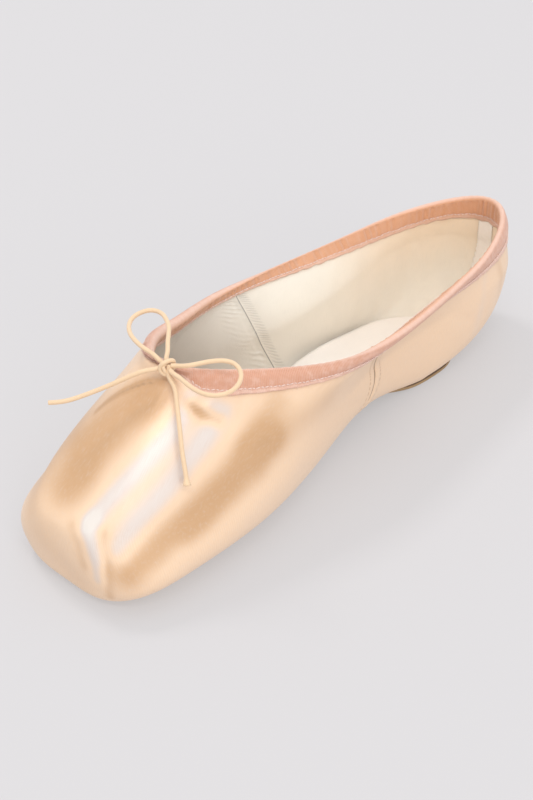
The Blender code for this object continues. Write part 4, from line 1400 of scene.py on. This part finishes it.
def build_outsole(skin):
    """Leather outsole: stacked outlines of the sole's plan, from the bevelled tread up to the darker
    upper edge, with a shallow groove between its two layers and the stitched channel cut round the tread."""
    s, share = rounded_stations(SOLE_FRONT, SOLE_BACK - SOLE_DRAWN_BACK, SOLE_ROUND, SOLE_ROUND, 170)
    waist = smooth_step(85 * MM, 115 * MM, s) * smooth_step(166 * MM, 146 * MM, s)
    drawn_in = SOLE_DRAWN_BALL * smooth_step(30 * MM, 70 * MM, s) + SOLE_DRAWN_WAIST * waist
    drawn_in += SOLE_DRAWN_HEEL * smooth_step(140 * MM, 175 * MM, s)
    half = (spline_weights(SOLE_AT, s) @ SOLE_HALVES - drawn_in) * share
    along = np.concatenate([s, s[::-1]])
    outline = np.stack([np.concatenate([half, -half[::-1]]), along - MIDDLE], axis=1)
    tangent = unit(np.roll(outline, -1, axis=0) - np.roll(outline, 1, axis=0))
    out = np.stack([tangent[:, 1], -tangent[:, 0]], axis=1)
    levels = [(outline * (part, 1), height * MM, dark_share) for part, height, dark_share in SOLE_TREAD]
    levels += [(outline - out * inset * MM, height * MM, dark_share) for inset, height, dark_share in SOLE_EDGE]
    levels += [(outline * (part, 1), SOLE_THICK, 0.0) for part in (0.9, 0.5, 0.02)]
    rows = [np.concatenate([ring, (arch(along) + height)[:, None]], axis=1) for ring, height, _ in levels]
    mesh = grid_mesh("outsole_leather", np.stack(rows), close_columns=True, caps="strip")
    set_attribute(mesh, "dark_share", np.repeat([dark_share for _, _, dark_share in levels], len(outline)))
    return add_piece("outsole_leather", mesh, skin, "sole_leather", "outsole")


def cavity_half(s, height):
    """Half-width of the inside of the shoe at each place along it, at a height over the sole line."""
    turn = np.linspace(0, 1, 241)
    v = np.linspace(0, V_WIDE, 25)[:, None]
    surface = last_point(turn, v)
    inside = moved(surface, last_normal(turn, v), -wall_at(surface))
    run = along_shoe(inside)
    half = []
    for place, level in zip(s, arch(s) + height):
        x = [np.interp(place, row, across, left=0, right=0) for row, across in zip(run, inside[..., 0])]
        z = [np.interp(place, row, up) for row, up in zip(run, inside[..., 2])]
        half.append(np.interp(level, z, x))
    return np.array(half)


def plate_sections(s, half, bottom, top, bevel, crown, corner):
    """Sections of a plate along the shoe: a rounded rectangle of the half-width, with crowned top, lifted
    along the arch. Returns rows of points, one row per place along the shoe."""
    turns = np.linspace(-1, 1, 25)
    low = np.linspace(1, -1, 15)[1:-1]
    foot = half - bevel
    side_x = np.stack([half, half, foot], axis=1)
    side_z = np.array([mix(bottom, top - corner, 0.6), bottom + bevel, bottom])
    x = np.concatenate([half[:, None] * turns, side_x, foot[:, None] * low, -side_x[:, ::-1]], axis=1)
    crowned = top - corner * np.abs(turns) ** 8 + crown * (1 - turns ** 2)
    section_z = np.concatenate([crowned, side_z, np.full(len(low), bottom), side_z[::-1]])
    z = section_z + arch(s)[:, None]
    y = np.repeat((s - MIDDLE)[:, None], x.shape[1], axis=1)
    return np.stack([x, y, z], axis=-1)


def build_insole(skin):
    """Insole under its cotton cover, as wide as the inside lets it be: crowned top, softly turned edges
    that curl up along the arch."""
    bottom = SOLE_THICK + CURVED_GAP + WALL_SIDE + CURVED_GAP
    s, share = rounded_stations(INSOLE_FRONT, INSOLE_BACK, INSOLE_FRONT_ROUND, INSOLE_BACK_ROUND, 150)
    extra = wall(s) - WALL_SIDE
    half = (cavity_half(s, bottom + extra) - INSOLE_CLEAR) * share
    points = plate_sections(s, half, bottom, bottom + INSOLE_THICK, bevel=0.4 * MM, crown=0.5 * MM,
                            corner=0.9 * MM)
    waist = bell(s - INSOLE_CURL_AT, INSOLE_CURL_REACH)[:, None]
    points[..., 2] += extra[:, None] + INSOLE_CURL * waist * np.abs(points[..., 0] / half[:, None]) ** 2.5
    uv = grid_uv(np.linspace(0, 130 * MM, points.shape[1] + 1), s)
    mesh = grid_mesh("insole_cover", points[:, ::-1], close_columns=True, uv=uv, caps="ring")
    return add_piece("insole_cover", mesh, skin, "insole_cotton", "insole")


def camera_axes():
    """Camera's right, up and back vectors from its azimuth, elevation and roll."""
    a, e, r = CAMERA_AZIMUTH, CAMERA_ELEVATION, CAMERA_ROLL
    back = np.array([math.sin(a) * math.cos(e), -math.cos(a) * math.cos(e), math.sin(e)])
    right = np.array([math.cos(a), math.sin(a), 0])
    up = np.cross(back, right)
    return right * math.cos(r) - up * math.sin(r), right * math.sin(r) + up * math.cos(r), back


def knot_places(places):
    """Metres for places in mm to the right of, above and in front of the knot's centre, in the photo's
    view."""
    return place_in_shoe(KNOT_AT) + np.array(places) * MM @ np.stack(camera_axes())


def build_knot(skin):
    """Knot of the bow: a cord wrapped over the strands as a smooth closed ring, and a second turn inside
    it."""
    grids = [ring_tube(knot_places(corners), radius) for corners, radius in KNOT_TURNS]
    rows, columns = grids[0].shape[:2]
    quads, i, j = grid_faces(rows, columns, True, True)
    faces = np.concatenate([quads[:, ::-1] + k * rows * columns for k in range(len(grids))])
    mesh = bpy.data.meshes.new("drawstring_knot")
    mesh.from_pydata(np.concatenate(grids).reshape(-1, 3).tolist(), [], faces.tolist())
    uv = grid_uv(np.linspace(0, np.pi * CORD, columns + 1), np.linspace(0, 14 * MM, rows + 1))
    corners = np.stack([uv[i + 1, j], uv[i + 1, j + 1], uv[i, j + 1], uv[i, j]], axis=1)
    set_uv(mesh, np.concatenate([corners] * len(grids)))
    mesh.shade_smooth()
    return add_piece("drawstring_knot", mesh, skin, "cord_cotton", "knot")


def build_drawstring(skin):
    """Knot, two loops and two ends of the drawstring, each a braided cord along its route."""
    knot = build_knot(skin)
    for name, route in BOW_ROUTES.items():
        first, last = KNOT_ROOTS[name]
        corners = [knot_places([first]), place_in_shoe(route)]
        if last is not None:
            corners.append(knot_places([last]))
        path = smooth_line(np.concatenate(corners), CORD_STEP)
        radius = np.full(len(path), CORD / 2)
        if name == "end_near":
            radius *= 1 + 0.65 * smooth_step(len(path) - 10, len(path) - 1, np.arange(len(path)))
        mesh = cord_tube("drawstring_" + name, path, radius)
        piece = add_piece("drawstring_" + name, mesh, skin, "cord_cotton", name)


# Sizes, colours and powers that a user would change

def size_property(name, description, default):
    """A length."""
    return bpy.props.FloatProperty(name=name, description=description, default=default, unit="LENGTH",
                                   precision=5)


def colour_property(name, description, default):
    """A colour."""
    return bpy.props.FloatVectorProperty(name=name, description=description, default=default, subtype="COLOR",
                                         size=3, min=0, max=1)


def power_property(name, description, default):
    """Power of a light."""
    return bpy.props.FloatProperty(name=name, description=description, default=default, unit="POWER")


class ShoeSizes(bpy.types.PropertyGroup):
    satin_thick: size_property("Satin", "Thickness of the satin", 0.45 * MM)
    seam_depth: size_property("Seam depth", "How deep the satin is drawn in at a seam", 0.42 * MM)
    pleat_height: size_property("Pleat height", "Height of the pleats under the toe", 0.8 * MM)
    stitch_length: size_property("Stitch length", "Length of one stitch of the binding", 1.5 * MM)


class ShoeColours(bpy.types.PropertyGroup):
    satin: colour_property("Satin", "Main colour of the satin", (0.86, 0.622, 0.430))
    # The satin's tan colour also paints its painted shade and dark reflections, its pale colour its painted
    # light, and its sheen colour the painted highlight of its bright stripe
    satin_tan_and_painted_shade: colour_property("Satin tan", "Deep tone of the satin", (0.585, 0.35, 0.185))
    satin_pale_and_painted_light: colour_property("Satin pale", "Pale tone of the satin", (0.71, 0.625, 0.575))
    satin_painted_highlight: colour_property("Satin sheen", "Tone of the satin's brightest stripe", (0.76, 0.705, 0.65))
    tape: colour_property("Tape", "Main colour of the binding", (0.69, 0.365, 0.245))
    # The tape's groove colour is painted shade between its ribs, its wear colour also paints the highlight
    # along the rim's crest, and its inside colour is painted shade on its inner leg
    tape_groove_shade: colour_property("Tape grooves", "Colour between the tape's ribs", (0.66, 0.29, 0.18))
    tape_wear_and_sheen: colour_property("Tape wear", "Colour of the tape's worn edge", (0.88, 0.63, 0.52))
    tape_inside_shade: colour_property("Tape inside", "Colour of the tape inside the shoe", (0.77, 0.375, 0.19))
    lining: colour_property("Lining", "Colour of the cotton lining", (0.92, 0.845, 0.725))
    # The lining's toe colour is painted shade in the toe box; it also darkens the lining's seam line and
    # ticks
    lining_grey_and_toe_shade: colour_property("Lining at the toe", "Colour of the lining in the toe box",
                                 (0.62, 0.555, 0.48))
    lining_heel: colour_property("Lining at the heel", "Colour of the lining high in the heel",
                                 (0.93, 0.73, 0.52))
    insole: colour_property("Insole", "Colour of the insole's cover", (1.0, 0.92, 0.83))
    leather: colour_property("Leather", "Colour of the sole leather", (0.42, 0.27, 0.14))
    # The leather's edge colour darkens the upper band of the sole's edge and the channel round the tread
    leather_edge: colour_property("Leather edge", "Colour of the stained sole edge", (0.09, 0.05, 0.03))
    cord: colour_property("Cord", "Colour of the drawstring", (0.83, 0.59, 0.37))
    thread: colour_property("Thread", "Colour of the sewing thread", (0.93, 0.69, 0.59))
    floor: colour_property("Floor", "Colour of the studio floor", (0.275, 0.264, 0.267))


class ShoeStage(bpy.types.PropertyGroup):
    key_power: power_property("Long light", "Power of the long overhead softbox", 27.5)
    side_power: power_property("Side light", "Power of the small light at the far side", 19)
    top_power: power_property("Top light", "Power of the softbox straight above", 8)
    front_power: power_property("Front light", "Power of the low light at the near side", 17)
    fill: bpy.props.FloatProperty(name="Surroundings", description="Strength of the light from all round",
                                  default=0.90, min=0)


# Stage

def set_up(made, axes, place):
    """Brings a camera or a light into the scene at a place, with its right, up and back directions."""
    bpy.context.scene.collection.objects.link(made)
    matrix = np.eye(4)
    matrix[:3] = np.stack([*axes, place], axis=1)
    made.matrix_world = Matrix(matrix.tolist())


def build_camera():
    """Camera at the photo's angle."""
    data = bpy.data.cameras.new("photo_view")
    data.sensor_width = SENSOR
    data.lens = FOCAL_PIXELS / FRAME_HEIGHT_PIXELS * SENSOR
    camera = bpy.data.objects.new("photo_view", data)
    set_up(camera, camera_axes(), CAMERA_AT)
    bpy.context.scene.camera = camera


def build_light(name, place, size, power, along=(1, 0, 0), mirrored=False):
    """Rectangular softbox at a place, facing the shoe, with its first side along a direction. Glossy cloth
    mirrors it only where it says so."""
    data = bpy.data.lights.new(name, "AREA")
    data.shape = "RECTANGLE"
    data.size, data.size_y = size
    data.energy = power
    light = bpy.data.objects.new(name, data)
    back = unit(np.array(place, float))
    up = unit(np.cross(back, along))
    set_up(light, (np.cross(up, back), up, back), place)
    light.visible_glossy = mirrored


def build_stage(stage, colours):
    """Floor, surroundings, softboxes and camera."""
    corners = FLOOR_HALF * np.array([[[-1, -1, 0], [1, -1, 0]], [[-1, 1, 0], [1, 1, 0]]])
    mesh = grid_mesh("studio_floor", corners)
    mesh.materials.append(floor_skin(colours))
    floor = bpy.data.objects.new("studio_floor", mesh)
    bpy.context.scene.collection.objects.link(floor)
    world = bpy.data.worlds.new("studio")
    world.use_nodes = True
    background = world.node_tree.nodes["Background"]
    background.inputs["Color"].default_value = (*SURROUNDINGS, 1)
    background.inputs["Strength"].default_value = stage.fill
    bpy.context.scene.world = world
    build_light("long_softbox", (1.55, -1.1, 3.0), (2.75, 0.5), stage.key_power, along=(0.84, 0.55, 0),
                mirrored=True)
    build_light("side_light", (-1.45, 0.15, 2.25), (0.55, 0.55), stage.side_power)
    build_light("front_softbox", (2.2, -0.9, 0.75), (1.6, 1.2), stage.front_power)
    build_light("top_softbox", (0, 0.1, 2.8), (1.6, 1.6), stage.top_power)
    build_camera()
    bpy.context.scene.view_settings.view_transform = "Standard"


# Operators

class SHOE_OT_satin(bpy.types.Operator):
    """Make the satin upper"""
    bl_idname = "shoe.satin"
    bl_label = "Satin upper"

    def execute(self, context):
        build_satin(context.scene.shoe_sizes, satin_skin(context.scene.shoe_colours))
        return {"FINISHED"}


class SHOE_OT_lining(bpy.types.Operator):
    """Make the cotton lining and the tape over the back seam"""
    bl_idname = "shoe.lining"
    bl_label = "Lining"

    def execute(self, context):
        colours = context.scene.shoe_colours
        build_lining(context.scene.shoe_sizes, cotton_skin("lining_cotton", colours.lining, colours))
        build_back_tape(cotton_skin("back_tape", colours.insole))
        return {"FINISHED"}


class SHOE_OT_binding(bpy.types.Operator):
    """Make the collar binding with its frayed edges"""
    bl_idname = "shoe.binding"
    bl_label = "Collar binding"

    def execute(self, context):
        colours = context.scene.shoe_colours
        build_binding(tape_skin(colours))
        build_fraying(thread_skin("tape_fibres", colours.tape_wear_and_sheen))
        return {"FINISHED"}


class SHOE_OT_stitching(bpy.types.Operator):
    """Make the rows of stitches"""
    bl_idname = "shoe.stitching"
    bl_label = "Stitching"

    def execute(self, context):
        colours = context.scene.shoe_colours
        build_stitching(context.scene.shoe_sizes, thread_skin("binding_thread", colours.thread))
        return {"FINISHED"}


class SHOE_OT_soles(bpy.types.Operator):
    """Make the leather outsole and the insole's cover"""
    bl_idname = "shoe.soles"
    bl_label = "Outsole and insole"

    def execute(self, context):
        colours = context.scene.shoe_colours
        build_outsole(leather_skin(colours))
        build_insole(cotton_skin("insole_cotton", colours.insole))
        return {"FINISHED"}


class SHOE_OT_drawstring(bpy.types.Operator):
    """Make the drawstring's bow"""
    bl_idname = "shoe.drawstring"
    bl_label = "Drawstring bow"

    def execute(self, context):
        build_drawstring(cord_skin(context.scene.shoe_colours))
        return {"FINISHED"}


class SHOE_OT_stage(bpy.types.Operator):
    """Make the floor, the lights and the camera"""
    bl_idname = "shoe.stage"
    bl_label = "Stage"

    def execute(self, context):
        build_stage(context.scene.shoe_stage, context.scene.shoe_colours)
        return {"FINISHED"}


OPERATORS = (SHOE_OT_stage, SHOE_OT_drawstring, SHOE_OT_satin, SHOE_OT_lining, SHOE_OT_binding,
             SHOE_OT_stitching, SHOE_OT_soles)


class SHOE_PT_pieces(bpy.types.Panel):
    """Lists the shoe's pieces in the sidebar"""
    bl_idname = "SHOE_PT_pieces"
    bl_label = "Pointe shoe"
    bl_space_type = "VIEW_3D"
    bl_region_type = "UI"
    bl_category = "Shoe"

    def draw(self, context):
        for group in (context.scene.shoe_sizes, context.scene.shoe_colours, context.scene.shoe_stage):
            for name in group.__annotations__:
                self.layout.prop(group, name)
        for operator in OPERATORS:
            self.layout.operator(operator.bl_idname)


CLASSES = (ShoeSizes, ShoeColours, ShoeStage, *OPERATORS, SHOE_PT_pieces)


def register():
    for one in CLASSES:
        bpy.utils.register_class(one)
    bpy.types.Scene.shoe_sizes = bpy.props.PointerProperty(type=ShoeSizes)
    bpy.types.Scene.shoe_colours = bpy.props.PointerProperty(type=ShoeColours)
    bpy.types.Scene.shoe_stage = bpy.props.PointerProperty(type=ShoeStage)


def unregister():
    del bpy.types.Scene.shoe_sizes
    del bpy.types.Scene.shoe_colours
    del bpy.types.Scene.shoe_stage
    for one in reversed(CLASSES):
        bpy.utils.unregister_class(one)


def main():
    register()
    bpy.ops.shoe.stage()
    bpy.ops.shoe.drawstring()
    bpy.ops.shoe.satin()
    bpy.ops.shoe.lining()
    bpy.ops.shoe.binding()
    bpy.ops.shoe.stitching()
    bpy.ops.shoe.soles()


if __name__ == "__main__":
    main()
